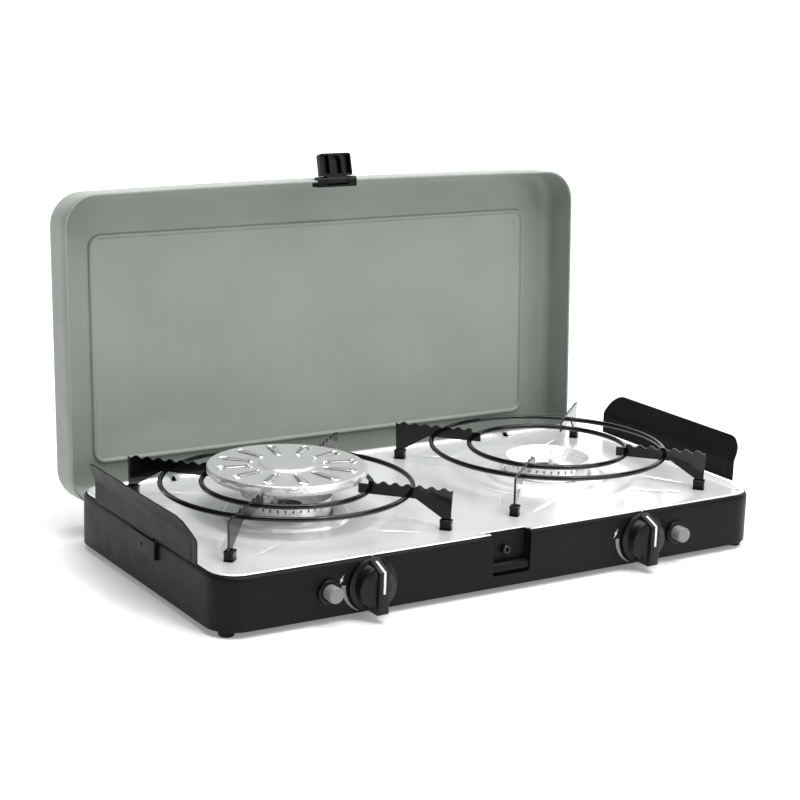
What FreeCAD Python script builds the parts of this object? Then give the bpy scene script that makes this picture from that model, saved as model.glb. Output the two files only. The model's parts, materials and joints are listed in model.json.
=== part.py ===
import FreeCAD, Part
import math
import os

from FreeCAD import Vector

os.makedirs("parts", exist_ok=True)

# Portable gas stove with a folding lid: millimetres, +Z up, +X to the user's right.
# The origin is on the ground under the middle of the casing. The lid is drawn shut and then
# turned open about its hinge, because the stove is stored here with the lid open.

# ---------------------------------------------------------------- casing
casing_width = 600.0
casing_depth = 308.0
casing_height = 49.5
casing_corner = 28.0
front_bow = 1.5
casing_wall = 1.2
shoulder_radius = 4.0
lip_width = 7.0
base_thickness = 1.2

foot_height = 6.0
foot_radius = 7.0
foot_inset_x = 15.0
foot_inset_front = 16.0
foot_inset_rear = 40.0
foot_bore = 2.0
foot_pocket_radius = 4.4
foot_pocket = 3.0
foot_screw_head = 3.8
foot_screw_recess = 1.0

vent_count = 6
vent_length = 46.0
vent_width = 5.0
vent_pitch = 14.0

# ---------------------------------------------------------------- catch recess in the front
recess_width = 41.6
recess_depth = 12.6
recess_floor = 11.0
recess_corner = 4.0
catch_height = 32.0
catch_head_radius = 4.2
catch_head_length = 4.5
catch_shank_radius = 2.0
bar_radius = 4.0

# ---------------------------------------------------------------- hob tray
tray_thickness = 0.8
tray_inset = 3.0
tray_rim_width = 5.5
tray_rim_lift = 0.9
tray_drop = 1.0
tray_notch_gap = 1.2
well_radius = 88.0
well_drop = 5.7

# ---------------------------------------------------------------- burners
burner_spacing = 302.6
burner_y = 0.7
cup_radius = 26.0
cup_wall = 2.0
cup_bottom = 20.0
cup_flange_radius = 36.0
cup_flange_thickness = 1.5
head_radius = 42.0
head_wall = 2.5
head_floor = 1.5
head_throat = 22.0
head_height = 15.2
window_count = 6
window_width = 12.0
window_height = 5.0
bowl_rim_radius = 43.5
bowl_height = 9.0
bowl_wall = 1.2
bowl_floor_radius = 30.0
bowl_floor_drop = 3.0
bowl_hole = 15.0
port_count = 36
port_width = 1.6
port_depth = 3.0
screw_radius = 1.6
screw_head_radius = 3.2
screw_head_height = 1.6
screw_length = 10.3

# ---------------------------------------------------------------- gas path
tap_width = 18.0
tap_bottom = 10.0
tap_top = 41.0
tap_length = 29.0
rail_radius = 4.0
rail_wall = 1.0
rail_height = 16.5
rail_from_front = 21.0
rail_bend = 20.0
inlet_x = 225.0
nipple_radius = 4.0
nipple_bore = 2.4
nipple_length = 22.0
nipple_collar_radius = 6.5
nipple_collar = 3.0
jet_radius = 4.0
jet_length = 9.0
jet_bore = 0.5
mixer_radius = 8.0
mixer_wall = 1.0
mixer_gap = 4.0
mixer_bell = 3.0
mixer_bell_length = 5.0

# ---------------------------------------------------------------- knobs
knob_spacing = 302.0
knob_height = 31.5
knob_skirt_radius = 24.2
knob_skirt_thickness = 3.0
knob_body_radius = 19.5
knob_body_depth = 13.0
grip_width = 12.0
grip_depth = 25.0
grip_top_slope = 8.0
grip_inset = 0.4
knob_gap = 0.5
pointer_width = 2.6
pointer_thickness = 0.4
pointer_slope_run = 19.0
pointer_drop = 21.0
stem_radius = 4.0
stem_clearance = 0.05
stem_in_knob = 9.0
stem_in_tap = 10.0

# ---------------------------------------------------------------- spark igniters
igniter_spacing = 388.0
igniter_height = 30.5
collar_radius = 11.4
collar_thickness = 2.5
button_radius = 7.3
button_proud = 13.5
button_travel = 4.0
button_clearance = 0.3
igniter_radius = 9.5
igniter_length = 36.0
igniter_rear_wall = 8.0
button_seat = 1.5
button_well_spare = 3.0
button_stem_radius = 3.0
electrode_offset_x = 9.0
electrode_offset_y = 5.0
ceramic_radius = 2.6
ceramic_rise = 3.5
ceramic_foot = 14.0
wire_radius = 0.8
spark_rise = 8.0
spark_reach = 6.0
spark_drop = 4.0
lead_radius = 1.2
lead_height = 12.5
lead_bend = 8.0
lead_run = 26.0
lead_fall = 24.0

# ---------------------------------------------------------------- pan supports
ring_height = 83.2
ring_wire = 2.5
outer_ring_radius = 118.5
inner_ring_radius = 80.0
blade_count = 4
blade_turn = 42.8
blade_thickness = 2.0
blade_outer = 160.5
blade_tab_inner = 70.0
blade_tab_outer = 79.5
blade_tab_top = 90.0
blade_bottom = 80.8
blade_wave_inner = 92.6
blade_wave_outer = 92.4
wave_count = 7
wave_height = 1.5
leg_width = 9.0
leg_foot = 57.0
leg_knee = 65.5
socket_wall = 1.0
socket_width = 9.5
socket_height = 9.5
socket_clearance = 0.3
socket_corner = 1.4
leg_from_end = 1.0

# ---------------------------------------------------------------- heat diffuser
disc_radius = 75.4
disc_thickness = 1.0
disc_skirt = 6.5
disc_lower_radius = 71.5
disc_lower_skirt = 3.4
disc_lift = 0.4
dome_radius = 28.5
dome_height = 2.2
louvre_count = 12
louvre_inner = 35.0
louvre_outer = 65.0
louvre_width = 7.5

# ---------------------------------------------------------------- wind guards
guard_sheet = 1.0
guard_gap = 0.6
guard_length = 214.0
guard_y = -6.0
guard_lift = 2.0
guard_wall_height = 21.5
guard_total_height = 42.0
guard_flare = 12.0
guard_corner = 20.0
tongue_width = 40.0
tongue_length = 17.5
bracket_sheet = 1.4
bracket_gap = 0.4
bracket_end = 5.0
bracket_drop = 17.0
bracket_hole = 1.6
tongue_clearance = 1.5
bracket_step = 0.5

# ---------------------------------------------------------------- lid
lid_inset_x = 1.0
lid_inset_y = 1.3
lid_depth = 46.5
lid_corner = 33.0
lid_fillet = 13.0
lid_bow = 2.4
lid_wall = 1.0
lid_rest_gap = 0.4
lid_open_behind = 7.5
lid_open_below = 24.25
lid_tilt = 3.12

# ---------------------------------------------------------------- lid hinge
hinge_x = 200.0
hinge_sheet = 2.0
hinge_pin_radius = 2.5
hinge_pin_length = 15.0
hinge_clearance = 0.05
hinge_boss = 6.0
hinge_slot = 3.0
arm_depth = 8.6
arm_start = 6.0
arm_end = 28.0
arm_flange = 15.0
rivet_radius = 2.0
rivet_head_radius = 3.5
rivet_head = 1.2
ear_sheet = 1.6
ear_depth = 15.0
ear_above = 9.0
ear_below = 10.0
ear_flange = 10.0

# ---------------------------------------------------------------- lid catch
barrel_radius = 4.2
barrel_rise = 4.0
barrel_inset = 1.0
barrel_width = 45.6
lever_width = 37.0
lever_length = 27.5
lever_thickness = 6.5
lever_rib = 1.8
lever_floor = 1.6
lever_lean = 12.0
lever_corner = 3.0
lever_arch = 6.0
knuckle_width = 24.0
knuckle_gap = 0.4
catch_pin_radius = 1.5
catch_pin_clearance = 0.05
mount_plate = 2.0
mount_height = 12.0

# ---------------------------------------------------------------- places that follow
casing_bottom = foot_height
casing_top = casing_bottom + casing_height
front_face = -casing_depth / 2 - front_bow
rear_inner = casing_depth / 2 - casing_wall
base_top = casing_bottom + base_thickness
tray_rim_top = casing_top + tray_thickness + tray_rim_lift
tray_surface = casing_top - tray_drop
well_surface = tray_surface - well_drop
burner_x = burner_spacing / 2
knob_x = knob_spacing / 2
igniter_x = igniter_spacing / 2
recess_back = front_face + recess_depth
recess_bottom = casing_bottom + recess_floor
leg_radius = blade_outer - leg_width / 2 - leg_from_end
disc_foot = blade_tab_top + disc_lift
disc_top = disc_foot + disc_lower_skirt + disc_skirt
guard_inner = casing_width / 2 + guard_gap
guard_bottom = casing_top + guard_lift
lid_rim = tray_rim_top + lid_rest_gap
lid_top = lid_rim + lid_depth
lid_width = casing_width - 2 * lid_inset_x
lid_length = casing_depth - 2 * lid_inset_y
lid_open_y = casing_depth / 2 + lid_open_behind
lid_open_z = casing_top - lid_open_below
lid_rear = lid_length / 2
lid_front = -lid_length / 2 - lid_bow
barrel_y = lid_front + barrel_inset
barrel_z = lid_rim + barrel_rise
opening_angle = 90.0 + lid_tilt
sides = (("left", -1), ("right", 1))


def hinge_axis():
    # The one point about which the opening angle carries the shut rear rim to the open one.
    angle = math.radians(opening_angle)
    cos_a, sin_a = math.cos(angle), math.sin(angle)
    turned_y = cos_a * lid_open_y - sin_a * lid_open_z
    turned_z = sin_a * lid_open_y + cos_a * lid_open_z
    dy, dz = lid_rear - turned_y, lid_rim - turned_z
    det = (1 - cos_a) ** 2 + sin_a ** 2
    return ((1 - cos_a) * dy - sin_a * dz) / det, (sin_a * dy + (1 - cos_a) * dz) / det


hinge_y, hinge_z = hinge_axis()


# ---------------------------------------------------------------- drawing helpers
def outline(width, depth, radius, bow, inset=0.0):
    # A rounded rectangle whose front edge is one long arc that meets its corners smoothly.
    half_w, half_d = width / 2, depth / 2
    cx, cy = half_w - radius, half_d - radius
    r = radius - inset
    long_arc = (cx ** 2 + bow ** 2) / (2 * bow)
    lean = math.asin(cx / long_arc)
    fx, fy = cx + r * math.sin(lean), -cy - r * math.cos(lean)
    diagonal = r * math.sqrt(0.5)
    side, rear, front = half_w - inset, half_d - inset, -half_d - bow + inset
    turn = (math.pi / 2 + lean) / 2
    mx = cx + r * math.cos(math.pi / 2 - turn)
    my = -cy - r * math.sin(math.pi / 2 - turn)
    edges = [
        Part.Arc(Vector(-fx, fy, 0), Vector(0, front, 0), Vector(fx, fy, 0)).toShape(),
        Part.Arc(Vector(fx, fy, 0), Vector(mx, my, 0), Vector(side, -cy, 0)).toShape(),
        Part.makeLine(Vector(side, -cy, 0), Vector(side, cy, 0)),
        Part.Arc(Vector(side, cy, 0), Vector(cx + diagonal, cy + diagonal, 0),
                 Vector(cx, rear, 0)).toShape(),
        Part.makeLine(Vector(cx, rear, 0), Vector(-cx, rear, 0)),
        Part.Arc(Vector(-cx, rear, 0), Vector(-cx - diagonal, cy + diagonal, 0),
                 Vector(-side, cy, 0)).toShape(),
        Part.makeLine(Vector(-side, cy, 0), Vector(-side, -cy, 0)),
        Part.Arc(Vector(-side, -cy, 0), Vector(-mx, my, 0), Vector(-fx, fy, 0)).toShape(),
    ]
    return Part.Wire(edges)


def prism(wire, low, high):
    face = Part.Face(wire)
    face.translate(Vector(0, 0, low))
    return face.extrude(Vector(0, 0, high - low))


def casing_prism(inset, low, high):
    return prism(outline(casing_width, casing_depth, casing_corner, front_bow, inset), low, high)


def lid_prism(inset, low, high):
    return prism(outline(lid_width, lid_length, lid_corner, lid_bow, inset), low, high)


def round_top(solid, height, radius):
    top = [e for e in solid.Edges if abs(e.BoundBox.ZMin - height) < 1e-6]
    return solid.makeFillet(radius, top)


def box(x0, x1, y0, y1, z0, z1):
    return Part.makeBox(x1 - x0, y1 - y0, z1 - z0, Vector(x0, y0, z0))


def rod(radius, x, y, low, high):
    return Part.makeCylinder(radius, high - low, Vector(x, y, low))


def rod_y(radius, x, z, start, end):
    return Part.makeCylinder(radius, end - start, Vector(x, start, z), Vector(0, 1, 0))


def rod_x(radius, y, z, start, end):
    return Part.makeCylinder(radius, end - start, Vector(start, y, z), Vector(1, 0, 0))


def plate(points, thickness, x):
    # A flat plate across X, drawn by its (y, z) corners.
    corners = [Vector(x - thickness / 2, y, z) for y, z in points]
    face = Part.Face(Part.makePolygon(corners + corners[:1]))
    return face.extrude(Vector(thickness, 0, 0))


def turned(points, x, y):
    # A turned solid about a vertical axis, drawn by its (radius, height) corners.
    corners = [Vector(r, 0, z) for r, z in points]
    face = Part.Face(Part.makePolygon(corners + corners[:1]))
    solid = face.revolve(Vector(0, 0, 0), Vector(0, 0, 1), 360)
    solid.translate(Vector(x, y, 0))
    return solid


def tube_along(points, radius, bend):
    # A round bar along straight runs that are joined by tangent arcs.
    edges = []
    start = points[0]
    for before, corner, after in zip(points, points[1:], points[2:]):
        back = (before - corner).normalize()
        ahead = (after - corner).normalize()
        half = back.getAngle(ahead) / 2
        reach = bend / math.tan(half)
        middle = (back + ahead).normalize()
        into, out = corner + back * reach, corner + ahead * reach
        centre = corner + middle * (bend / math.sin(half))
        edges.append(Part.makeLine(start, into))
        edges.append(Part.Arc(into, centre - middle * bend, out).toShape())
        start = out
    edges.append(Part.makeLine(start, points[-1]))
    spine = Part.Wire(edges)
    direction = points[1] - points[0]
    profile = Part.Wire(Part.makeCircle(radius, points[0], direction))
    return spine.makePipeShell([profile], True, False)


def mirrored(solid):
    return solid.mirror(Vector(0, 0, 0), Vector(1, 0, 0))


def opened(solid):
    # A piece drawn with the lid shut, turned with the lid to where it stands open.
    turned_solid = solid.copy()
    turned_solid.rotate(Vector(0, hinge_y, hinge_z), Vector(1, 0, 0), -opening_angle)
    return turned_solid


def save(name, *solids):
    shapes = []
    for solid in solids:
        shapes += solid.Solids
    shape = shapes[0] if len(shapes) == 1 else Part.makeCompound(shapes)
    if not shape.isValid():
        raise ValueError(name + " is not a valid solid")
    shape.exportStep("parts/" + name + ".step")
    print(name, len(shapes), round(shape.Volume / 1000, 2), "cm3")


# ---------------------------------------------------------------- casing pieces
def foot_places():
    x = casing_width / 2 - foot_inset_x
    front = -casing_depth / 2 + foot_inset_front
    rear = casing_depth / 2 - foot_inset_rear
    return [(s * x, y) for s in (-1, 1) for y in (front, rear)]


def hinge_notch(low, high, front):
    return [box(s * hinge_x - hinge_slot, s * hinge_x + hinge_slot, front, casing_depth, low, high)
            for s in (-1, 1)]


def ear_rivet_places():
    reach = hinge_slot + ear_sheet + ear_flange * 0.55
    return [(s * hinge_x + side * reach, hinge_z + lift)
            for s in (-1, 1) for side in (-1, 1) for lift in (-ear_below * 0.6, ear_above * 0.5)]


def casing_shell():
    shell = round_top(casing_prism(0, casing_bottom, casing_top), casing_top, shoulder_radius)
    inner_top = casing_top - casing_wall
    inner = casing_prism(casing_wall, casing_bottom - 1, inner_top)
    inner = round_top(inner, inner_top, shoulder_radius - casing_wall)
    mouth = casing_prism(lip_width, inner_top - 1, casing_top + 1)
    shell = shell.cut([inner, mouth])
    half, wall = recess_width / 2, casing_wall
    pocket = box(-half - wall, half + wall, front_face, recess_back + wall,
                 recess_bottom - wall, casing_top)
    pocket = pocket.common(casing_prism(0, casing_bottom, casing_top))
    room = box(-half, half, front_face - 5, recess_back, recess_bottom, casing_top + 5)
    low_edges = [e for e in room.Edges
                 if abs(e.BoundBox.ZMax - recess_bottom) < 1e-6 and e.BoundBox.YLength > 1]
    room = room.makeFillet(recess_corner, low_edges)
    shell = shell.fuse(pocket).cut(room)
    tools = [rod_y(catch_shank_radius, 0, casing_bottom + catch_height, recess_back - 1,
                   recess_back + wall + 1)]
    for s in (-1, 1):
        tools.append(rod_y(stem_radius + stem_clearance, s * knob_x, knob_height,
                           front_face - 5, front_face + 8))
        tools.append(rod_y(igniter_radius, s * igniter_x, igniter_height,
                           front_face - 5, front_face + 8))
        for y in bracket_rivet_places():
            tools.append(rod_x(rivet_radius, y, bracket_middle, s * casing_width / 2 - 4,
                               s * casing_width / 2 + 4))
    tools.append(rod_y(nipple_collar_radius - 1.5, inlet_x, rail_height, rear_inner - 1,
                       rear_inner + 4))
    tools += hinge_notch(hinge_z - hinge_boss - 1.5, casing_top + 1, rear_inner - lip_width)
    for x, z in ear_rivet_places():
        tools.append(rod_y(rivet_radius, x, z, rear_inner - 1, rear_inner + 4))
    return shell.cut(tools)


def base_plate():
    plate_solid = casing_prism(casing_wall, casing_bottom, base_top)
    tools = [rod(foot_bore, x, y, casing_bottom - 1, base_top + 1) for x, y in foot_places()]
    for s in (-1, 1):
        for i in range(vent_count):
            y = burner_y + (i - (vent_count - 1) / 2) * vent_pitch
            x = s * burner_x
            tools.append(box(x - vent_length / 2, x + vent_length / 2, y - vent_width / 2,
                             y + vent_width / 2, casing_bottom - 1, base_top + 1))
    return plate_solid.cut(tools)


def foot(x, y):
    return turned([(foot_bore, foot_pocket), (foot_pocket_radius, foot_pocket),
                   (foot_pocket_radius, 0), (foot_radius - 1.2, 0), (foot_radius, 1.4),
                   (foot_radius + 0.6, foot_height), (foot_bore, foot_height)], x, y)


def foot_screw(x, y):
    head = rod(foot_screw_head, x, y, foot_screw_recess, foot_pocket)
    return head.fuse(rod(foot_bore, x, y, foot_pocket, base_top + 3.0)).removeSplitter()


def catch_screw():
    z = casing_bottom + catch_height
    head = rod_y(catch_head_radius, 0, z, recess_back - catch_head_length, recess_back)
    head = head.makeChamfer(0.6, [e for e in head.Edges
                                  if abs(e.BoundBox.YMax - recess_back + catch_head_length) < 1e-6])
    socket = rod_y(catch_head_radius * 0.5, 0, z, recess_back - catch_head_length - 1,
                   recess_back - catch_head_length + 2.5)
    shank = rod_y(catch_shank_radius, 0, z, recess_back - 0.5, recess_back + 6)
    return head.fuse(shank).cut(socket).removeSplitter()


def ledge_bar():
    half = recess_width / 2
    y = recess_back - bar_radius
    bar = rod_x(bar_radius, y, recess_bottom + bar_radius, -half, half)
    room = box(-half, half, front_face - 5, recess_back, recess_bottom, casing_top)
    low_edges = [e for e in room.Edges
                 if abs(e.BoundBox.ZMax - recess_bottom) < 1e-6 and e.BoundBox.YLength > 1]
    return bar.common(room.makeFillet(recess_corner, low_edges))


def hob_tray():
    t = tray_thickness
    flange = casing_prism(tray_inset, casing_top, tray_rim_top)
    well_in = casing_prism(tray_inset + tray_rim_width, tray_surface, tray_rim_top + 1)
    body = casing_prism(tray_inset + tray_rim_width - t, tray_surface - t, tray_rim_top)
    under = casing_prism(tray_inset + t, casing_top - 1, tray_rim_top - t)
    under = under.cut(casing_prism(tray_inset + tray_rim_width - t, tray_surface - t - 1,
                                   tray_rim_top))
    tray = flange.cut(under).fuse(body).cut(well_in)
    for s in (-1, 1):
        x = s * burner_x
        tray = tray.fuse(rod(well_radius + t, x, burner_y, well_surface - t, tray_surface - t / 2))
        tray = tray.cut(rod(well_radius, x, burner_y, well_surface, tray_surface + 1))
    half = recess_width / 2 + tray_notch_gap
    tools = [box(-half, half, front_face - 5, recess_back + casing_wall + tray_notch_gap,
                 tray_surface - 5, tray_rim_top + 5)]
    tools += hinge_notch(tray_surface - 5, tray_rim_top + 5, hinge_y - hinge_boss)
    for s in (-1, 1):
        x = s * burner_x
        tools.append(rod(cup_radius, x, burner_y, well_surface - 3, well_surface + 1))
        for x_screw in burner_screw_places(x):
            tools.append(rod(screw_radius, x_screw, burner_y, well_surface - 3, well_surface + 1))
    return tray.cut(tools)


# ---------------------------------------------------------------- burner pieces
def burner_screw_places(x):
    reach = (cup_radius + cup_flange_radius) / 2
    return (x - reach, x + reach)


def electrode_place(s):
    return s * (burner_x + electrode_offset_x), burner_y + electrode_offset_y


def burner_cup(s):
    x = s * burner_x
    flange_top = well_surface - tray_thickness
    flange_low = flange_top - cup_flange_thickness
    inside = cup_radius - cup_wall
    cup = turned([(0, cup_bottom), (cup_radius, cup_bottom), (cup_radius, flange_low),
                  (cup_flange_radius, flange_low), (cup_flange_radius, flange_top),
                  (cup_radius, flange_top), (cup_radius, well_surface), (inside, well_surface),
                  (inside, cup_bottom + cup_wall), (0, cup_bottom + cup_wall)], x, burner_y)
    tools = [rod_y(mixer_radius, s * knob_x, knob_height, burner_y - cup_radius - 1, burner_y)]
    ex, ey = electrode_place(s)
    tools.append(rod(ceramic_radius, ex, ey, cup_bottom - 1, cup_bottom + cup_wall + 1))
    for x_screw in burner_screw_places(x):
        tools.append(rod(screw_radius, x_screw, burner_y, flange_low - 1, flange_top + 1))
    return cup.cut(tools)


def burner_head(s):
    x = s * burner_x
    low = well_surface
    head = turned([(head_throat, low), (head_radius, low), (head_radius, low + head_height),
                   (head_radius - head_wall, low + head_height),
                   (head_radius - head_wall, low + head_floor), (head_throat, low + head_floor)],
                  x, burner_y)
    tools = []
    for i in range(window_count):
        window = box(head_radius - 8, head_radius + 4, -window_width / 2, window_width / 2,
                     low + head_floor + 1.2, low + head_floor + 1.2 + window_height)
        window.rotate(Vector(0, 0, 0), Vector(0, 0, 1), (i + 0.5) * 360.0 / window_count)
        window.translate(Vector(x, burner_y, 0))
        tools.append(window)
    for x_screw in burner_screw_places(x):
        tools.append(rod(screw_radius, x_screw, burner_y, low - 1, low + head_floor + 1))
    return head.cut(tools)


def burner_bowl(s):
    x = s * burner_x
    low = well_surface + head_height
    rim = low + bowl_height
    floor = low - bowl_floor_drop
    inner = head_radius - head_wall
    bowl = turned([(inner, low), (head_radius, low), (head_radius, rim - 2.5),
                   (bowl_rim_radius, rim - 1.4), (bowl_rim_radius, rim),
                   (bowl_rim_radius - bowl_wall, rim), (bowl_floor_radius, floor + bowl_wall),
                   (bowl_hole, floor + bowl_wall), (bowl_hole, floor),
                   (bowl_floor_radius + 0.6, floor), (inner, rim - 4.4)], x, burner_y)
    ports = []
    for i in range(port_count):
        port = box(inner - 0.5, head_radius + 2, -port_width / 2, port_width / 2,
                   low + 1.0, low + 1.0 + port_depth)
        port.rotate(Vector(0, 0, 0), Vector(0, 0, 1), i * 360.0 / port_count)
        port.translate(Vector(x, burner_y, 0))
        ports.append(port)
    return bowl.cut(ports)


def burner_screws(s):
    screws = []
    for x in burner_screw_places(s * burner_x):
        seat = well_surface + head_floor
        shank = rod(screw_radius, x, burner_y, seat - screw_length, seat)
        head = rod(screw_head_radius, x, burner_y, seat, seat + screw_head_height)
        screws.append(head.fuse(shank).removeSplitter())
    return screws


def electrode_ceramic(s):
    ex, ey = electrode_place(s)
    top = well_surface + head_height + ceramic_rise
    body = rod(ceramic_radius, ex, ey, ceramic_foot, top)
    return body.cut(rod(wire_radius, ex, ey, ceramic_foot - 1, top + 1))


def electrode_wire(s):
    ex, ey = electrode_place(s)
    top = well_surface + head_height + ceramic_rise + spark_rise
    points = [Vector(ex, ey, ceramic_foot), Vector(ex, ey, top),
              Vector(ex - s * spark_reach, ey, top), Vector(ex - s * spark_reach, ey, top - spark_drop)]
    return tube_along(points, wire_radius, wire_radius * 1.8)


# ---------------------------------------------------------------- gas pieces
tap_front = front_face + casing_wall + 1.5
tap_back = tap_front + tap_length
jet_end = tap_back + jet_length
rail_y = front_face + rail_from_front


def gas_tap(s):
    x = s * knob_x
    body = box(x - tap_width / 2, x + tap_width / 2, tap_front, tap_back, tap_bottom, tap_top)
    rail_start = x if s < 0 else x - tap_width
    rail_hole = rod_x(rail_radius, rail_y, rail_height, rail_start, x + tap_width)
    stem_hole = rod_y(stem_radius + stem_clearance, x, knob_height, tap_front - 1,
                      tap_front + stem_in_tap + 2.0)
    return body.cut([rail_hole, stem_hole])


def gas_jet(s):
    x = s * knob_x
    jet = rod_y(jet_radius, x, knob_height, tap_back, jet_end)
    jet = jet.makeChamfer(1.0, [e for e in jet.Edges if abs(e.BoundBox.YMin - jet_end) < 1e-6])
    return jet.cut(rod_y(jet_bore, x, knob_height, tap_back - 1, jet_end + 1))


def mixing_tube(s):
    x = s * knob_x
    start = jet_end + mixer_gap
    end = burner_y - cup_radius + cup_wall
    tube = rod_y(mixer_radius, x, knob_height, start, end)
    bell = rod_y(mixer_radius + mixer_bell, x, knob_height, start, start + mixer_bell_length)
    tube = tube.fuse(bell)
    return tube.cut(rod_y(mixer_radius - mixer_wall, x, knob_height, start - 1, end + 1))


def gas_rail():
    start = Vector(-knob_x, rail_y, rail_height)
    corner = Vector(inlet_x, rail_y, rail_height)
    end = Vector(inlet_x, rear_inner, rail_height)
    outer = tube_along([start, corner, end], rail_radius, rail_bend)
    inside = Vector(rail_wall * 2, 0, 0)
    beyond = Vector(0, 1, 0)
    return outer.cut(tube_along([start + inside, corner, end + beyond], rail_radius - rail_wall,
                                rail_bend))


def gas_inlet():
    wall_out = casing_depth / 2
    seat = rod_y(nipple_collar_radius - 1.5, inlet_x, rail_height, rear_inner, wall_out)
    collar = rod_y(nipple_collar_radius, inlet_x, rail_height, wall_out,
                   wall_out + nipple_collar)
    nipple = rod_y(nipple_radius, inlet_x, rail_height, wall_out + nipple_collar,
                   wall_out + nipple_collar + nipple_length)
    bore = rod_y(nipple_bore, inlet_x, rail_height, rear_inner - 1, wall_out + 60)
    return seat.fuse([collar, nipple]).cut(bore).removeSplitter()


# ---------------------------------------------------------------- knobs and igniters
def knob_body(s):
    x = s * knob_x
    back = front_face - knob_gap
    skirt = rod_y(knob_skirt_radius, x, knob_height, back - knob_skirt_thickness, back)
    skirt = skirt.makeFillet(1.0, [e for e in skirt.Edges if
                                   abs(e.BoundBox.YMax - back + knob_skirt_thickness) < 1e-6])
    body = rod_y(knob_body_radius, x, knob_height, back - knob_body_depth, back)
    body = body.makeFillet(1.5, [e for e in body.Edges if
                                 abs(e.BoundBox.YMax - back + knob_body_depth) < 1e-6])
    reach = knob_skirt_radius - grip_inset
    grip = plate([(back, knob_height + reach), (back - knob_skirt_thickness, knob_height + reach),
                  (back - grip_depth, knob_height + reach - grip_top_slope),
                  (back - grip_depth, knob_height - reach + 0.8),
                  (back - grip_depth + 2.0, knob_height - reach),
                  (back, knob_height - reach)], grip_width, x)
    long_edges = [e for e in grip.Edges if e.BoundBox.XLength < 1e-6
                  and abs(e.BoundBox.YMax - back + grip_depth) < 1e-6]
    grip = grip.makeFillet(1.2, long_edges)
    hole = rod_y(stem_radius, x, knob_height, back - stem_in_knob, back + 1)
    knob = skirt.fuse([body, grip]).cut(hole)
    return knob.cut(pointer_bar(x)).removeSplitter()


def pointer_bar(x):
    # The white line that is let into the grip, down its sloping top and its front.
    back = front_face - knob_gap
    reach = knob_skirt_radius - grip_inset
    top = knob_height + reach
    corner = (back - grip_depth, top - grip_top_slope)
    slope = Vector(0, grip_depth - knob_skirt_thickness, grip_top_slope).normalize()
    depth = pointer_thickness
    start_y = corner[0] + slope.y * pointer_slope_run
    start_z = corner[1] + slope.z * pointer_slope_run
    low = top - grip_top_slope - pointer_drop
    line = [(start_y, start_z), (corner[0], corner[1]), (corner[0], low),
            (corner[0] + depth, low), (corner[0] + depth, corner[1] - depth * 0.7),
            (start_y, start_z - depth)]
    return plate(line, pointer_width, x)


def tap_stem(s):
    x = s * knob_x
    return rod_y(stem_radius, x, knob_height, front_face - knob_gap - stem_in_knob,
                 tap_front + stem_in_tap)


def igniter_body(s):
    x = s * igniter_x
    inner = button_stem_radius + button_clearance
    start = front_face
    body = rod_y(igniter_radius, x, igniter_height, start, start + igniter_length)
    well = rod_y(button_radius + button_clearance, x, igniter_height, start - 1,
                 start + button_travel + button_well_spare)
    shaft = rod_y(inner, x, igniter_height, start,
                  start + igniter_length - igniter_rear_wall)
    return body.cut([well, shaft])


def igniter_collar(s):
    x = s * igniter_x
    ring = rod_y(collar_radius, x, igniter_height, front_face - collar_thickness, front_face)
    ring = ring.makeFillet(1.0, [e for e in ring.Edges if
                                 abs(e.BoundBox.YMax - front_face + collar_thickness) < 1e-6])
    return ring.cut(rod_y(button_radius + button_clearance, x, igniter_height,
                          front_face - collar_thickness - 1, front_face + 1))


def igniter_button(s):
    x = s * igniter_x
    tip = front_face - button_proud
    seat = front_face + button_seat
    head = rod_y(button_radius, x, igniter_height, tip, seat)
    head = head.makeFillet(1.2, [e for e in head.Edges if abs(e.BoundBox.YMax - tip) < 1e-6])
    stem_end = front_face + igniter_length - igniter_rear_wall - button_travel - 1.0
    stem = rod_y(button_stem_radius, x, igniter_height, seat, stem_end)
    return head.fuse(stem).removeSplitter()


def ignition_lead(s):
    x = s * igniter_x
    ex, ey = electrode_place(s)
    start = front_face + igniter_length
    points = [Vector(x, start, igniter_height), Vector(x, start + lead_run, igniter_height),
              Vector(x, start + lead_run + lead_fall, lead_height), Vector(x, ey, lead_height),
              Vector(ex, ey, lead_height - 1.0)]
    return tube_along(points, lead_radius, lead_bend)


# ---------------------------------------------------------------- pan support pieces
def around_burner(solid, s, index):
    copy = solid.copy()
    copy.rotate(Vector(0, 0, 0), Vector(0, 0, 1), blade_turn + index * 360.0 / blade_count)
    copy.translate(Vector(s * burner_x, burner_y, 0))
    return copy


def support_ring(s, radius):
    return Part.makeTorus(radius, ring_wire, Vector(s * burner_x, burner_y, ring_height))


def wave_edges():
    # The wavy top of a blade, from its outer corner inwards, as alternating arcs.
    run = blade_outer - blade_tab_outer
    half_waves = 2 * wave_count
    edges, here = [], None
    for i in range(half_waves + 1):
        part = i / half_waves
        r = blade_outer - run * part
        z = blade_wave_outer + (blade_wave_inner - blade_wave_outer) * part
        point = Vector(r, 0, z)
        if here is not None:
            lift = wave_height if i % 2 == 0 else -wave_height
            middle = (here + point) * 0.5 + Vector(0, 0, lift)
            edges.append(Part.Arc(here, middle, point).toShape())
        here = point
    return edges


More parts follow.
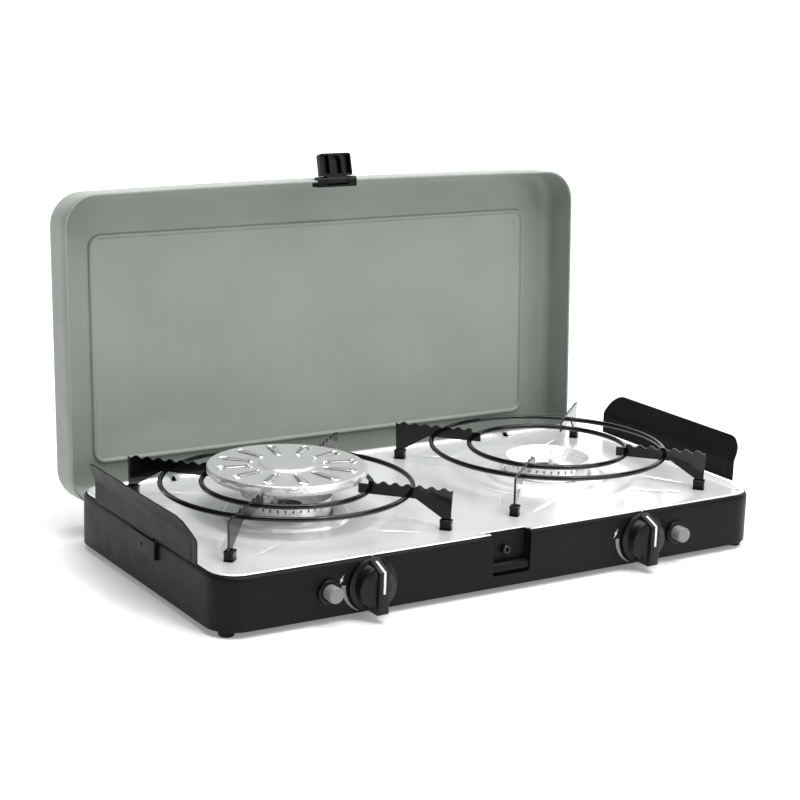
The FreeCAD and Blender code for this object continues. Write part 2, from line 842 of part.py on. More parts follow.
def blade():
    edges = wave_edges()
    inner_end = edges[-1].Vertexes[-1].Point
    leg_out, leg_in = leg_radius + leg_width / 2, leg_radius - leg_width / 2
    corners = [inner_end, Vector(blade_tab_outer, 0, blade_tab_top),
               Vector(blade_tab_inner, 0, blade_tab_top), Vector(blade_tab_inner, 0, blade_bottom),
               Vector(outer_ring_radius + 8, 0, blade_bottom), Vector(leg_in, 0, leg_knee),
               Vector(leg_in, 0, leg_foot), Vector(leg_out, 0, leg_foot),
               Vector(leg_out, 0, leg_knee), Vector(blade_outer, 0, blade_wave_outer)]
    edges += [Part.makeLine(a, b) for a, b in zip(corners, corners[1:])]
    face = Part.Face(Part.Wire(edges))
    solid = face.extrude(Vector(0, blade_thickness, 0))
    solid.translate(Vector(0, -blade_thickness / 2, 0))
    return solid


def support_blades(s):
    rings = [support_ring(s, outer_ring_radius), support_ring(s, inner_ring_radius)]
    return [around_burner(blade(), s, i).cut(rings) for i in range(blade_count)]


def support_sockets(s):
    half_r = leg_width / 2 + socket_clearance + socket_wall
    cap = box(leg_radius - half_r, leg_radius + half_r, -socket_width / 2, socket_width / 2,
              tray_surface, tray_surface + socket_height)
    upright = [e for e in cap.Edges if e.BoundBox.ZLength > 1]
    cap = cap.makeChamfer(socket_corner, upright)
    half_slot = leg_width / 2 + socket_clearance
    half_blade = blade_thickness / 2 + socket_clearance
    slot = box(leg_radius - half_slot, leg_radius + half_slot, -half_blade, half_blade,
               leg_foot - socket_clearance, tray_surface + socket_height + 1)
    cap = cap.cut(slot)
    return [around_burner(cap, s, i) for i in range(blade_count)]


def heat_diffuser():
    t = disc_thickness
    step = disc_foot + disc_lower_skirt
    disc = turned([(0, disc_top + dome_height), (dome_radius - 6, disc_top + dome_height),
                   (dome_radius, disc_top), (disc_radius - 1.5, disc_top),
                   (disc_radius, disc_top - 1.5), (disc_radius, step),
                   (disc_lower_radius, step), (disc_lower_radius, disc_foot),
                   (disc_lower_radius - t, disc_foot), (disc_lower_radius - t, step + t),
                   (disc_radius - t, step + t), (disc_radius - t, disc_top - t - 0.8),
                   (disc_radius - t - 0.8, disc_top - t), (dome_radius - 0.6, disc_top - t),
                   (dome_radius - 6.6, disc_top + dome_height - t),
                   (0, disc_top + dome_height - t)], -burner_x, burner_y)
    tools = []
    for i in range(louvre_count):
        half = louvre_width / 2
        slot = box(louvre_inner, louvre_outer - half, -half, half, disc_foot, disc_top + 5)
        slot = slot.fuse(rod(half, louvre_outer - half, 0, disc_foot, disc_top + 5))
        slot.rotate(Vector(0, 0, 0), Vector(0, 0, 1), (i + 0.5) * 360.0 / louvre_count)
        slot.translate(Vector(-burner_x, burner_y, 0))
        tools.append(slot)
    return disc.cut(tools)


# ---------------------------------------------------------------- wind guard pieces
bracket_top = casing_top - bracket_step
bracket_bottom = bracket_top - bracket_drop
bracket_middle = (bracket_top + bracket_bottom) / 2
bracket_half = tongue_width / 2 + tongue_clearance + bracket_end


def bracket_rivet_places():
    reach = bracket_half - bracket_end / 2
    return (guard_y - reach, guard_y + reach)


def wind_guard():
    # The right-hand guard; the left-hand one is its mirror image.
    x, t = guard_inner, guard_sheet
    bend, top = guard_bottom + guard_wall_height, guard_bottom + guard_total_height
    half = guard_length / 2
    y0 = guard_y - half
    profile = [Vector(x, y0, guard_bottom), Vector(x + t, y0, guard_bottom),
               Vector(x + t, y0, bend), Vector(x + t + guard_flare, y0, top),
               Vector(x + guard_flare, y0, top), Vector(x, y0, bend)]
    sheet = Part.Face(Part.makePolygon(profile + profile[:1])).extrude(Vector(0, guard_length, 0))
    side = box(x - 5, x + guard_flare + 10, y0, guard_y + half, guard_bottom - 1, top)
    corners = [e for e in side.Edges if abs(e.BoundBox.ZMin - top) < 1e-6
               and e.BoundBox.XLength > 1]
    sheet = sheet.common(side.makeFillet(guard_corner, corners))
    tongue = box(x, x + t, guard_y - tongue_width / 2, guard_y + tongue_width / 2,
                 guard_bottom - tongue_length, guard_bottom)
    return sheet.fuse(tongue).removeSplitter()


def guard_bracket():
    x = casing_width / 2
    inner = guard_inner + guard_sheet + bracket_gap
    body = box(x, inner + bracket_sheet, guard_y - bracket_half, guard_y + bracket_half,
               bracket_bottom, bracket_top)
    upright = [e for e in body.Edges if e.BoundBox.ZLength > 1
               and abs(e.BoundBox.XMin - inner - bracket_sheet) < 1e-6]
    body = body.makeFillet(1.2, upright)
    room_half = tongue_width / 2 + tongue_clearance
    floor = guard_bottom - tongue_length - bracket_gap
    room = box(x - 1, inner, guard_y - room_half, guard_y + room_half, floor, bracket_top + 1)
    tools = [room, rod_x(bracket_hole, guard_y, bracket_middle, x, x + 10)]
    tools += [rod_x(rivet_radius, y, bracket_middle, x - 1, x + 10)
              for y in bracket_rivet_places()]
    return body.cut(tools)


def bracket_rivets():
    x = casing_width / 2
    face = guard_inner + guard_sheet + bracket_gap + bracket_sheet
    rivets = []
    for y in bracket_rivet_places():
        shank = rod_x(rivet_radius, y, bracket_middle, x - casing_wall, face)
        tail = rod_x(rivet_radius + 1, y, bracket_middle, x - casing_wall - 1, x - casing_wall)
        rivets.append(shank.fuse(tail).removeSplitter())
    return rivets


# ---------------------------------------------------------------- lid pieces, drawn shut
def arm_rivet_places():
    x = arm_flange * 0.62
    return [(x, lid_rim + arm_start + (arm_end - arm_start) * part) for part in (0.25, 0.75)]


def lid_shell():
    shell = round_top(lid_prism(0, lid_rim, lid_top), lid_top, lid_fillet)
    inner = lid_prism(lid_wall, lid_rim - 1, lid_top - lid_wall)
    inner = round_top(inner, lid_top - lid_wall, lid_fillet - lid_wall)
    tools = [inner]
    half = barrel_width / 2 + knuckle_gap
    tools.append(box(-half, half, lid_front - 5, lid_front + lid_wall + 6, lid_rim - 1,
                     lid_rim + mount_height))
    for s in (-1, 1):
        for x, z in arm_rivet_places():
            tools.append(rod_y(rivet_radius, s * (hinge_x + x), z, lid_rear - 5, lid_rear + 5))
    return shell.cut(tools)


def hinge_arm():
    # The right-hand arm: a plate from the pin up to the lid's rear wall, with a riveted foot.
    wall = lid_rear - lid_wall
    low, high = lid_rim + arm_start, lid_rim + arm_end
    boss = rod_x(hinge_boss, hinge_y, hinge_z, hinge_x - hinge_sheet / 2,
                 hinge_x + hinge_sheet / 2)
    web = plate([(hinge_y - hinge_boss * 0.9, hinge_z), (hinge_y + hinge_boss * 0.9, hinge_z),
                 (wall, low), (wall, high), (wall - arm_depth, high), (wall - arm_depth, low)],
                hinge_sheet, hinge_x)
    flange = box(hinge_x - hinge_sheet / 2, hinge_x + arm_flange, wall - hinge_sheet, wall, low,
                 high)
    arm = boss.fuse([web, flange])
    tools = [rod_x(hinge_pin_radius + hinge_clearance, hinge_y, hinge_z, hinge_x - 5,
                   hinge_x + 5)]
    tools += [rod_y(rivet_radius, hinge_x + x, z, wall - 5, wall + 1)
              for x, z in arm_rivet_places()]
    return arm.cut(tools).removeSplitter()


def arm_rivets():
    rivets = []
    for x, z in arm_rivet_places():
        shank = rod_y(rivet_radius, hinge_x + x, z, lid_rear - lid_wall - hinge_sheet, lid_rear)
        head = rod_y(rivet_head_radius, hinge_x + x, z, lid_rear, lid_rear + rivet_head)
        tail = rod_y(rivet_head_radius, hinge_x + x, z,
                     lid_rear - lid_wall - hinge_sheet - rivet_head,
                     lid_rear - lid_wall - hinge_sheet)
        rivets.append(shank.fuse([head, tail]).removeSplitter())
    return rivets


def hinge_bracket():
    # Two ears inside the casing's rear wall, either side of the right-hand arm.
    low, high = hinge_z - ear_below, hinge_z + ear_above
    near = hinge_slot
    ears = []
    for side in (-1, 1):
        x0, x1 = sorted((hinge_x + side * near, hinge_x + side * (near + ear_sheet)))
        ears.append(box(x0, x1, rear_inner - ear_depth, rear_inner, low, high))
        f0, f1 = sorted((hinge_x + side * near, hinge_x + side * (near + ear_sheet + ear_flange)))
        ears.append(box(f0, f1, rear_inner - ear_sheet, rear_inner, low, high))
    web = box(hinge_x - near, hinge_x + near, rear_inner - ear_depth, rear_inner - ear_sheet,
              low, low + ear_sheet)
    bracket = web.fuse(ears)
    tools = [rod_x(hinge_pin_radius, hinge_y, hinge_z, hinge_x - 15, hinge_x + 15)]
    tools += [rod_y(rivet_radius, x, z, rear_inner - 5, rear_inner + 1)
              for x, z in ear_rivet_places() if x > 0]
    return bracket.cut(tools).removeSplitter()


def ear_rivets():
    rivets = []
    for x, z in ear_rivet_places():
        shank = rod_y(rivet_radius, x, z, rear_inner - ear_sheet, casing_depth / 2)
        head = rod_y(rivet_head_radius, x, z, casing_depth / 2, casing_depth / 2 + rivet_head)
        tail = rod_y(rivet_radius + 1, x, z, rear_inner - ear_sheet - 1, rear_inner - ear_sheet)
        rivets.append(shank.fuse([head, tail]).removeSplitter())
    return rivets


def hinge_pin():
    return rod_x(hinge_pin_radius, hinge_y, hinge_z, hinge_x - hinge_pin_length / 2,
                 hinge_x + hinge_pin_length / 2)


def catch_mount():
    # A moulded block in the lid's front wall that carries the ends of the catch's barrel.
    half = barrel_width / 2
    inner_face = lid_front + lid_wall
    block = box(-half, half, inner_face + barrel_radius, inner_face + barrel_radius + mount_plate,
                lid_rim, lid_rim + mount_height)
    bridge = box(-half, half, lid_front, inner_face + barrel_radius,
                 barrel_z + barrel_radius + knuckle_gap, lid_rim + mount_height)
    ends = []
    for s in (-1, 1):
        x0, x1 = sorted((s * (knuckle_width / 2 + knuckle_gap), s * half))
        ends.append(rod_x(barrel_radius, barrel_y, barrel_z, x0, x1))
        ends.append(box(x0, x1, barrel_y, inner_face + barrel_radius + mount_plate,
                        barrel_z - barrel_radius, barrel_z + barrel_radius + knuckle_gap))
    mount = block.fuse([bridge] + ends)
    swept = rod_x(barrel_radius + knuckle_gap, barrel_y, barrel_z,
                  -knuckle_width / 2 - knuckle_gap, knuckle_width / 2 + knuckle_gap)
    pin = rod_x(catch_pin_radius, barrel_y, barrel_z, -half - 1, half + 1)
    return mount.cut([swept, pin]).removeSplitter()


def catch_pin():
    half = barrel_width / 2
    return rod_x(catch_pin_radius, barrel_y, barrel_z, -half + 1, half - 1)


def catch_lever():
    # Drawn pointing forward (-Y) with its pocketed inner face down, then leaned up.
    half = lever_width / 2
    knuckle = rod_x(barrel_radius, barrel_y, barrel_z, -knuckle_width / 2, knuckle_width / 2)
    start = barrel_y - barrel_radius - knuckle_gap
    tip = barrel_y - lever_length
    low = barrel_z - barrel_radius
    high = low + lever_thickness
    slab = box(-half, half, tip, start, low, high)
    tip_edges = [e for e in slab.Edges if e.BoundBox.ZLength > 1
                 and abs(e.BoundBox.YMin - tip) < 1e-6]
    slab = slab.makeFillet(lever_corner, tip_edges)
    neck = box(-knuckle_width / 2, knuckle_width / 2, start, barrel_y, low + 1.0,
               barrel_z + barrel_radius - 1.0)
    outer_pockets = [box(x0, x1, tip + lever_rib, start - lever_rib, low - 1, high - lever_floor)
                     for x0, x1 in ((-half + lever_rib, -lever_arch - lever_rib),
                                    (lever_arch + lever_rib, half - lever_rib))]
    arch_y = tip + lever_rib + lever_arch
    arch = box(-lever_arch, lever_arch, arch_y, start - lever_rib, low - 1, high - lever_floor)
    arch = arch.fuse(rod(lever_arch, 0, arch_y, low - 1, high - lever_floor))
    bore = rod_x(catch_pin_radius + catch_pin_clearance, barrel_y, barrel_z, -half, half)
    lever = slab.fuse([knuckle, neck]).cut(outer_pockets + [arch, bore]).removeSplitter()
    lever.rotate(Vector(0, barrel_y, barrel_z), Vector(1, 0, 0), -lever_lean)
    return lever


# ---------------------------------------------------------------- build every node
save("casing_shell", casing_shell())
save("base_plate", base_plate())
save("catch_screw", catch_screw())
save("recess_ledge_bar", ledge_bar())
save("hob_tray", hob_tray())
save("rubber_feet", *[foot(x, y) for x, y in foot_places()])
save("foot_screws", *[foot_screw(x, y) for x, y in foot_places()])
save("gas_rail", gas_rail())
save("gas_inlet_nipple", gas_inlet())
save("hinge_brackets", hinge_bracket(), mirrored(hinge_bracket()))
save("hinge_bracket_rivets", *ear_rivets())
save("hinge_pins", hinge_pin(), mirrored(hinge_pin()))
save("guard_brackets", guard_bracket(), mirrored(guard_bracket()))
save("guard_bracket_rivets", *bracket_rivets(), *[mirrored(r) for r in bracket_rivets()])
save("burner_screws", *burner_screws(-1), *burner_screws(1))
save("electrode_ceramics", electrode_ceramic(-1), electrode_ceramic(1))
save("gas_jets", gas_jet(-1), gas_jet(1))
save("igniter_collars", igniter_collar(-1), igniter_collar(1))

for side_name, sign in sides:
    save("burner_cup_" + side_name, burner_cup(sign))
    save("burner_head_" + side_name, burner_head(sign))
    save("burner_bowl_" + side_name, burner_bowl(sign))
    save("spark_electrode_" + side_name, electrode_wire(sign))
    save("ignition_lead_" + side_name, ignition_lead(sign))
    save("gas_tap_" + side_name, gas_tap(sign))
    save("mixing_tube_" + side_name, mixing_tube(sign))
    save("support_sockets_" + side_name, *support_sockets(sign))
    save("igniter_body_" + side_name, igniter_body(sign))
    save("igniter_button_" + side_name, igniter_button(sign))
    save("knob_" + side_name, knob_body(sign))
    save("knob_pointer_" + side_name, pointer_bar(sign * knob_x))
    save("tap_stem_" + side_name, tap_stem(sign))
    save("support_outer_ring_" + side_name, support_ring(sign, outer_ring_radius))
    save("support_inner_ring_" + side_name, support_ring(sign, inner_ring_radius))
    save("support_blades_" + side_name, *support_blades(sign))

save("heat_diffuser", heat_diffuser())
save("wind_guard_right", wind_guard())
save("wind_guard_left", mirrored(wind_guard()))

save("lid_shell", opened(lid_shell()))
save("hinge_arms", opened(hinge_arm()), opened(mirrored(hinge_arm())))
save("hinge_arm_rivets", *[opened(r) for r in arm_rivets()],
     *[opened(mirrored(r)) for r in arm_rivets()])
save("catch_mount", opened(catch_mount()))
save("catch_pin", opened(catch_pin()))
save("catch_lever", opened(catch_lever()))
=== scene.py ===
import bpy
import bmesh
import json
import math
from mathutils import Matrix, Vector
from mathutils.geometry import delaunay_2d_cdt


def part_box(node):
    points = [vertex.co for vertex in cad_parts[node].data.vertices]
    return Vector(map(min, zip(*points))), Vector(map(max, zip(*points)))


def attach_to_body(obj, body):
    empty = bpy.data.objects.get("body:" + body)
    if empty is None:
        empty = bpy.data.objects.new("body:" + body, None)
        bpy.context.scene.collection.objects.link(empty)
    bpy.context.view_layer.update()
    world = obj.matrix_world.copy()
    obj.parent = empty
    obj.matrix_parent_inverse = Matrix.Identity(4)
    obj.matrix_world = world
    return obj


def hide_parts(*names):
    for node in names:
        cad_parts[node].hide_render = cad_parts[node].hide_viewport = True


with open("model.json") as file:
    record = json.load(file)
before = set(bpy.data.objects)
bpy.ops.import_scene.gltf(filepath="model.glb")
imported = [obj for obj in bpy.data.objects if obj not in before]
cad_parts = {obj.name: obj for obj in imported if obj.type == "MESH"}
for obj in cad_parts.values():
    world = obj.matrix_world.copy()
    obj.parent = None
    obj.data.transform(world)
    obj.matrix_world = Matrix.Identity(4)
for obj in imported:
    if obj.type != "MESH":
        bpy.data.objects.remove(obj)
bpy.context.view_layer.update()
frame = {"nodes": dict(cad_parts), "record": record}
mm = 0.001
sides = {"left": -1, "right": 1}
joints = {joint["name"]: joint for joint in frame["record"]["behaviour"]["joints"]}
finishes = {}


# Places, in millimetres, read from the frame
def boxOf(node):
    low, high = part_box(node)
    return low / mm, high / mm


def centreOf(node):
    low, high = boxOf(node)
    return (low + high) / 2


casingLow, casingHigh = boxOf("casing_shell")
burner = {name: centreOf("burner_head_" + name) for name in sides}
knobAt = {name: centreOf("tap_stem_" + name) for name in sides}
buttonAt = {name: centreOf("igniter_button_" + name) for name in sides}
frontBow = {"rise": 1.5, "half": casingHigh.x - 28.0}


def frontFace(x):
    # The casing's front leans out a little towards its middle.
    return casingLow.y + frontBow["rise"] * (x / frontBow["half"]) ** 2


# Finishes
paintLook = {
    "lidGreen": dict(colour=(0.262, 0.294, 0.262), shade=0.05, rough=0.40, grain=900, bump=0.035),
    "casingBlack": dict(colour=(0.006, 0.006, 0.0061), shade=0.15, rough=0.42, grain=1500, bump=0.08,
                        gloss=0.12),
    "guardBlack": dict(colour=(0.006, 0.006, 0.0061), shade=0.15, rough=0.44, grain=1500, bump=0.08,
                       gloss=0.13),
    "enamelBlack": dict(colour=(0.002, 0.002, 0.0022), shade=0.2, rough=0.16, grain=420, bump=0.03,
                        gloss=0.2, coat=0.4),
    "socketBlack": dict(colour=(0.003, 0.003, 0.003), shade=0.2, rough=0.20, grain=900, bump=0.05,
                        gloss=0.22),
    "knobBlack": dict(colour=(0.004, 0.004, 0.0041), shade=0.15, rough=0.30, grain=1900, bump=0.05,
                      gloss=0.24),
    "catchBlack": dict(colour=(0.002, 0.0022, 0.0022), shade=0.2, rough=0.28, grain=1900, bump=0.05,
                       gloss=0.18),
    "rubberBlack": dict(colour=(0.009, 0.009, 0.009), shade=0.2, rough=0.70, grain=1600, bump=0.12,
                        gloss=0.2),
    "screwBlack": dict(colour=(0.006, 0.006, 0.006), shade=0.2, rough=0.28, grain=1200, bump=0.05),
    "buttonGrey": dict(colour=(0.20, 0.20, 0.20), shade=0.06, rough=0.44, grain=1700, bump=0.05),
    "printWhite": dict(colour=(0.82, 0.82, 0.82), shade=0.03, rough=0.50, grain=2500, bump=0.02),
    "printGrey": dict(colour=(0.20, 0.20, 0.20), shade=0.05, rough=0.50, grain=2500, bump=0.02),
    "ceramicWhite": dict(colour=(0.80, 0.79, 0.75), shade=0.04, rough=0.18, grain=700, bump=0.02),
    "leadRed": dict(colour=(0.30, 0.03, 0.02), shade=0.1, rough=0.45, grain=1500, bump=0.05),
}
metalLook = {
    "traySteel": dict(colour=(0.965, 0.965, 0.965), rough=0.22, spread=0.03, wave=0.30, metal=0.5),
    "diffuserSteel": dict(colour=(0.84, 0.84, 0.84), rough=0.30, spread=0.05, wave=0.03, metal=0.78),
    "burnerSteel": dict(colour=(0.88, 0.88, 0.88), rough=0.26, spread=0.08, stretch=(1, 1, 6),
                        wave=0.03, metal=0.6),
    "burnerAlloy": dict(colour=(0.74, 0.74, 0.73), rough=0.34, spread=0.12, wave=0.10),
    "zincSteel": dict(colour=(0.62, 0.62, 0.60), rough=0.36, spread=0.16, wave=0.08),
    "brass": dict(colour=(0.71, 0.50, 0.20), rough=0.28, spread=0.10, stretch=(1, 8, 1), wave=0.05),
}
# Scale and detail of the noise in them
mottle = {"paintCloud": (14, 4), "smear": (55, 5), "metalCloud": (9, 3), "lines": (240, 5),
          "swell": (16, 2)}


def setInputs(node, values):
    for label, value in values.items():
        node.inputs[label].default_value = value


def blankFinish(name):
    finish = bpy.data.materials.new(name)
    finish.use_nodes = True
    nodes = finish.node_tree.nodes
    links = finish.node_tree.links
    shader = nodes["Principled BSDF"]
    place = nodes.new("ShaderNodeTexCoord")
    finishes[name] = finish
    return nodes, links, shader, place


def noise(nodes, links, place, scale, detail, stretch=(1, 1, 1)):
    mapping = nodes.new("ShaderNodeMapping")
    texture = nodes.new("ShaderNodeTexNoise")
    setInputs(mapping, {"Scale": stretch})
    setInputs(texture, {"Scale": scale, "Detail": detail})
    links.new(place.outputs["Object"], mapping.inputs["Vector"])
    links.new(mapping.outputs["Vector"], texture.inputs["Vector"])
    return texture.outputs["Fac"]


def spread(nodes, links, source, low, high):
    ranged = nodes.new("ShaderNodeMapRange")
    setInputs(ranged, {"From Min": 0.3, "From Max": 0.7, "To Min": low, "To Max": high})
    links.new(source, ranged.inputs["Value"])
    return ranged.outputs["Result"]


def bump(nodes, links, source, shader, strength, distance):
    node = nodes.new("ShaderNodeBump")
    setInputs(node, {"Strength": strength, "Distance": distance})
    links.new(source, node.inputs["Height"])
    links.new(node.outputs["Normal"], shader.inputs["Normal"])


def tint(nodes, links, source, colour, shade):
    ramp = nodes.new("ShaderNodeValToRGB")
    for i, (stop, lift) in enumerate(((0.3, 1 - shade), (0.7, 1 + shade))):
        ramp.color_ramp.elements[i].position = stop
        ramp.color_ramp.elements[i].color = [c * lift for c in colour] + [1]
    links.new(source, ramp.inputs["Fac"])
    return ramp.outputs["Color"]


def paintFinish(name, look):
    # Paint, enamel or moulded plastic: a faint mottle, uneven gloss and a fine grain.
    nodes, links, shader, place = blankFinish(name)
    cloud = noise(nodes, links, place, *mottle["paintCloud"])
    links.new(tint(nodes, links, cloud, look["colour"], look["shade"]), shader.inputs["Base Color"])
    smear = noise(nodes, links, place, *mottle["smear"])
    links.new(spread(nodes, links, smear, look["rough"] - 0.04, look["rough"] + 0.05),
              shader.inputs["Roughness"])
    grain = noise(nodes, links, place, look["grain"], 2)
    bump(nodes, links, grain, shader, look["bump"], 0.0006)
    setInputs(shader, {"Specular IOR Level": look.get("gloss", 0.5),
                       "Coat Weight": look.get("coat", 0.0), "Coat Roughness": 0.05})


def metalFinish(name, look):
    # Bare metal: cloudy polish, faint lines and a very shallow waviness.
    nodes, links, shader, place = blankFinish(name)
    setInputs(shader, {"Metallic": look.get("metal", 1.0)})
    cloud = noise(nodes, links, place, *mottle["metalCloud"])
    links.new(tint(nodes, links, cloud, look["colour"], 0.03), shader.inputs["Base Color"])
    lines = noise(nodes, links, place, *mottle["lines"], look.get("stretch", (1, 1, 1)))
    links.new(spread(nodes, links, lines, look["rough"], look["rough"] + look["spread"]),
              shader.inputs["Roughness"])
    swell = noise(nodes, links, place, *mottle["swell"])
    bump(nodes, links, swell, shader, look["wave"], 0.004)


for name, look in paintLook.items():
    paintFinish(name, look)
for name, look in metalLook.items():
    metalFinish(name, look)
print("finishes made:", len(finishes))


# Mesh helpers: points are given in millimetres
def addObject(name, data):
    item = bpy.data.objects.new(name, data)
    bpy.context.collection.objects.link(item)
    return item


def shadeByAngle(mesh, degrees):
    mesh.shade_smooth()
    mesh.set_sharp_from_angle(angle=math.radians(degrees))


def pieceFrom(name, work, finish, angle=35, fixNormals=True):
    bmesh.ops.remove_doubles(work, verts=work.verts, dist=1e-6)
    if fixNormals:
        bmesh.ops.recalc_face_normals(work, faces=work.faces)
    mesh = bpy.data.meshes.new(name)
    work.to_mesh(mesh)
    work.free()
    mesh.materials.append(finishes[finish])
    shadeByAngle(mesh, angle)
    return addObject(name, mesh)


def addMesh(work, points, faces):
    corners = [work.verts.new(Vector(p) * mm) for p in points]
    for face in faces:
        work.faces.new([corners[i] for i in face])
    return corners


def loftFaces(rows, count, around=True):
    faces = []
    for row in range(rows - 1):
        for i in range(count if around else count - 1):
            j = (i + 1) % count
            a = row * count
            b = a + count
            faces.append((a + i, a + j, b + j, b + i))
    return faces


def loft(work, rings, capFirst=False, capLast=False, around=True):
    points = [p for ring in rings for p in ring]
    count = len(rings[0])
    faces = loftFaces(len(rings), count, around)
    if capFirst:
        faces.append(tuple(range(count))[::-1])
    if capLast:
        faces.append(tuple(range(len(points) - count, len(points))))
    return addMesh(work, points, faces)


def lathe(work, profile, centre, steps=96, axis="z"):
    # A closed profile of (radius, along) corners, turned about Z or about Y.
    rings = []
    for i in range(steps):
        angle = 2 * math.pi * i / steps
        cosA, sinA = math.cos(angle), math.sin(angle)
        if axis == "z":
            rings.append([centre + Vector((r * cosA, r * sinA, h)) for r, h in profile])
        else:
            rings.append([centre + Vector((r * cosA, h, r * sinA)) for r, h in profile])
    return loft(work, rings + rings[:1])


def turnedPiece(name, finish, profile, centre, steps, axis="y", angle=40):
    work = bmesh.new()
    lathe(work, profile, centre, steps, axis)
    return pieceFrom(name, work, finish, angle)


def loftedPiece(name, finish, rings, angle, caps=True, around=True):
    work = bmesh.new()
    loft(work, rings, capFirst=caps, capLast=caps, around=around)
    return pieceFrom(name, work, finish, angle)


def arcPoints(cx, cy, radius, start, end, steps):
    turn = (end - start) / steps
    return [(cx + radius * math.cos(math.radians(start + turn * i)),
             cy + radius * math.sin(math.radians(start + turn * i))) for i in range(steps + 1)]


def ringPoints(centre, radius, steps):
    return [(centre.x + radius * math.cos(2 * math.pi * i / steps),
             centre.y + radius * math.sin(2 * math.pi * i / steps)) for i in range(steps)]


def quarterTurn(steps):
    # A quarter round in shares of its radius: how far in, and how far short of its far side.
    angles = [math.radians(90 * i / steps) for i in range(steps + 1)]
    return [(1 - math.cos(angle), 1 - math.sin(angle)) for angle in angles]


def between(a, b, steps):
    return [(a[0] + (b[0] - a[0]) * i / steps, a[1] + (b[1] - a[1]) * i / steps)
            for i in range(1, steps)]


def roundedOutline(halfX, lowY, highY, radius, cornerSteps=8, longSteps=30, shortSteps=14):
    # Points of a rounded rectangle, counter-clockwise from the front left corner.
    corners = [(-halfX + radius, lowY + radius, 180), (halfX - radius, lowY + radius, 270),
               (halfX - radius, highY - radius, 0), (-halfX + radius, highY - radius, 90)]
    outline = []
    for i, (cx, cy, start) in enumerate(corners):
        arc = arcPoints(cx, cy, radius, start, start + 90, cornerSteps)
        after = corners[(i + 1) % 4]
        nextStart = arcPoints(after[0], after[1], radius, after[2], after[2] + 90, 1)[0]
        outline += arc + between(arc[-1], nextStart, longSteps if i % 2 == 0 else shortSteps)
    return outline


def bowed(outline, rise, half):
    # The front stretch of an outline is pushed out into one long shallow arc.
    return [(x, y - rise * max(0.0, 1 - (x / half) ** 2) if y < 0 else y) for x, y in outline]


def settle(piece):
    # Modifiers are made part of the plain mesh.
    shape = piece.evaluated_get(bpy.context.evaluated_depsgraph_get())
    mesh = bpy.data.meshes.new_from_object(shape)
    piece.modifiers.clear()
    piece.data = mesh
    mesh.name = piece.name
    return piece


def carve(piece, cutter, action="DIFFERENCE"):
    tool = piece.modifiers.new("carve", "BOOLEAN")
    tool.operation = action
    tool.solver = "EXACT"
    tool.object = cutter
    settle(piece)
    bpy.data.objects.remove(cutter)
    return piece


def soften(piece, width, degrees=40, steps=2):
    # Small rounds on the sharp edges.
    tool = piece.modifiers.new("soften", "BEVEL")
    tool.width = width * mm
    tool.segments = steps
    tool.limit_method = "ANGLE"
    tool.angle_limit = math.radians(degrees)
    tool.harden_normals = True
    return settle(piece)


def thicken(piece, thickness, offset):
    tool = piece.modifiers.new("sheet", "SOLIDIFY")
    tool.thickness = thickness * mm
    tool.offset = offset
    tool.use_even_offset = True
    return settle(piece)


def blockOf(work, low, high):
    x0, y0, z0 = low
    x1, y1, z1 = high
    bottom = [(x0, y0, z0), (x1, y0, z0), (x1, y1, z0), (x0, y1, z0)]
    top = [(x, y, z1) for x, y, z in bottom]
    loft(work, [bottom, top], capFirst=True, capLast=True)


def attach(piece, body, slot, *nodes):
    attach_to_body(piece, body)
    if nodes:
        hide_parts(*nodes)
    return piece


def fromFrame(node, name, finish, angle, rounding):
    # A merged, smoothed and edge-rounded copy of a frame node.
    work = bmesh.new()
    work.from_mesh(frame["nodes"][node].data)
    bmesh.ops.remove_doubles(work, verts=work.verts, dist=1e-6)
    bmesh.ops.dissolve_limit(work, angle_limit=math.radians(0.6), verts=work.verts,
                             edges=work.edges)
    piece = pieceFrom(name, work, finish, angle, fixNormals=False)
    if rounding:
        soften(piece, rounding, angle)
    return piece


def refine(node, name, body, slot, finish, angle=30, rounding=0.0):
    return attach(fromFrame(node, name, finish, angle, rounding), body, slot, node)


# Geometry Nodes: one tree repeats a part round a circle, one sets it on points, one bends wire
def newTree(name, inputs):
    tree = bpy.data.node_groups.new(name, "GeometryNodeTree")
    tree.is_modifier = True
    tree.interface.new_socket("Geometry", in_out="INPUT", socket_type="NodeSocketGeometry")
    for label, kind, value in inputs:
        socket = tree.interface.new_socket(label, in_out="INPUT", socket_type="NodeSocket" + kind)
        if value is not None:
            socket.default_value = value
    tree.interface.new_socket("Geometry", in_out="OUTPUT", socket_type="NodeSocketGeometry")
    start = tree.nodes.new("NodeGroupInput")
    end = tree.nodes.new("NodeGroupOutput")
    return tree, start, end


def addNodes(tree, *kinds):
    return [tree.nodes.new(kind) for kind in kinds]


def connect(tree, *pairs):
    for giver, output, taker, entry in pairs:
        tree.links.new(giver.outputs[output], taker.inputs[entry])


def finishTree(tree, start, end, last, output):
    real, paint = addNodes(tree, "GeometryNodeRealizeInstances", "GeometryNodeSetMaterial")
    connect(tree, (last, output, real, "Geometry"), (real, "Geometry", paint, "Geometry"),
            (start, "Finish", paint, "Material"), (paint, "Geometry", end, "Geometry"))
    return tree


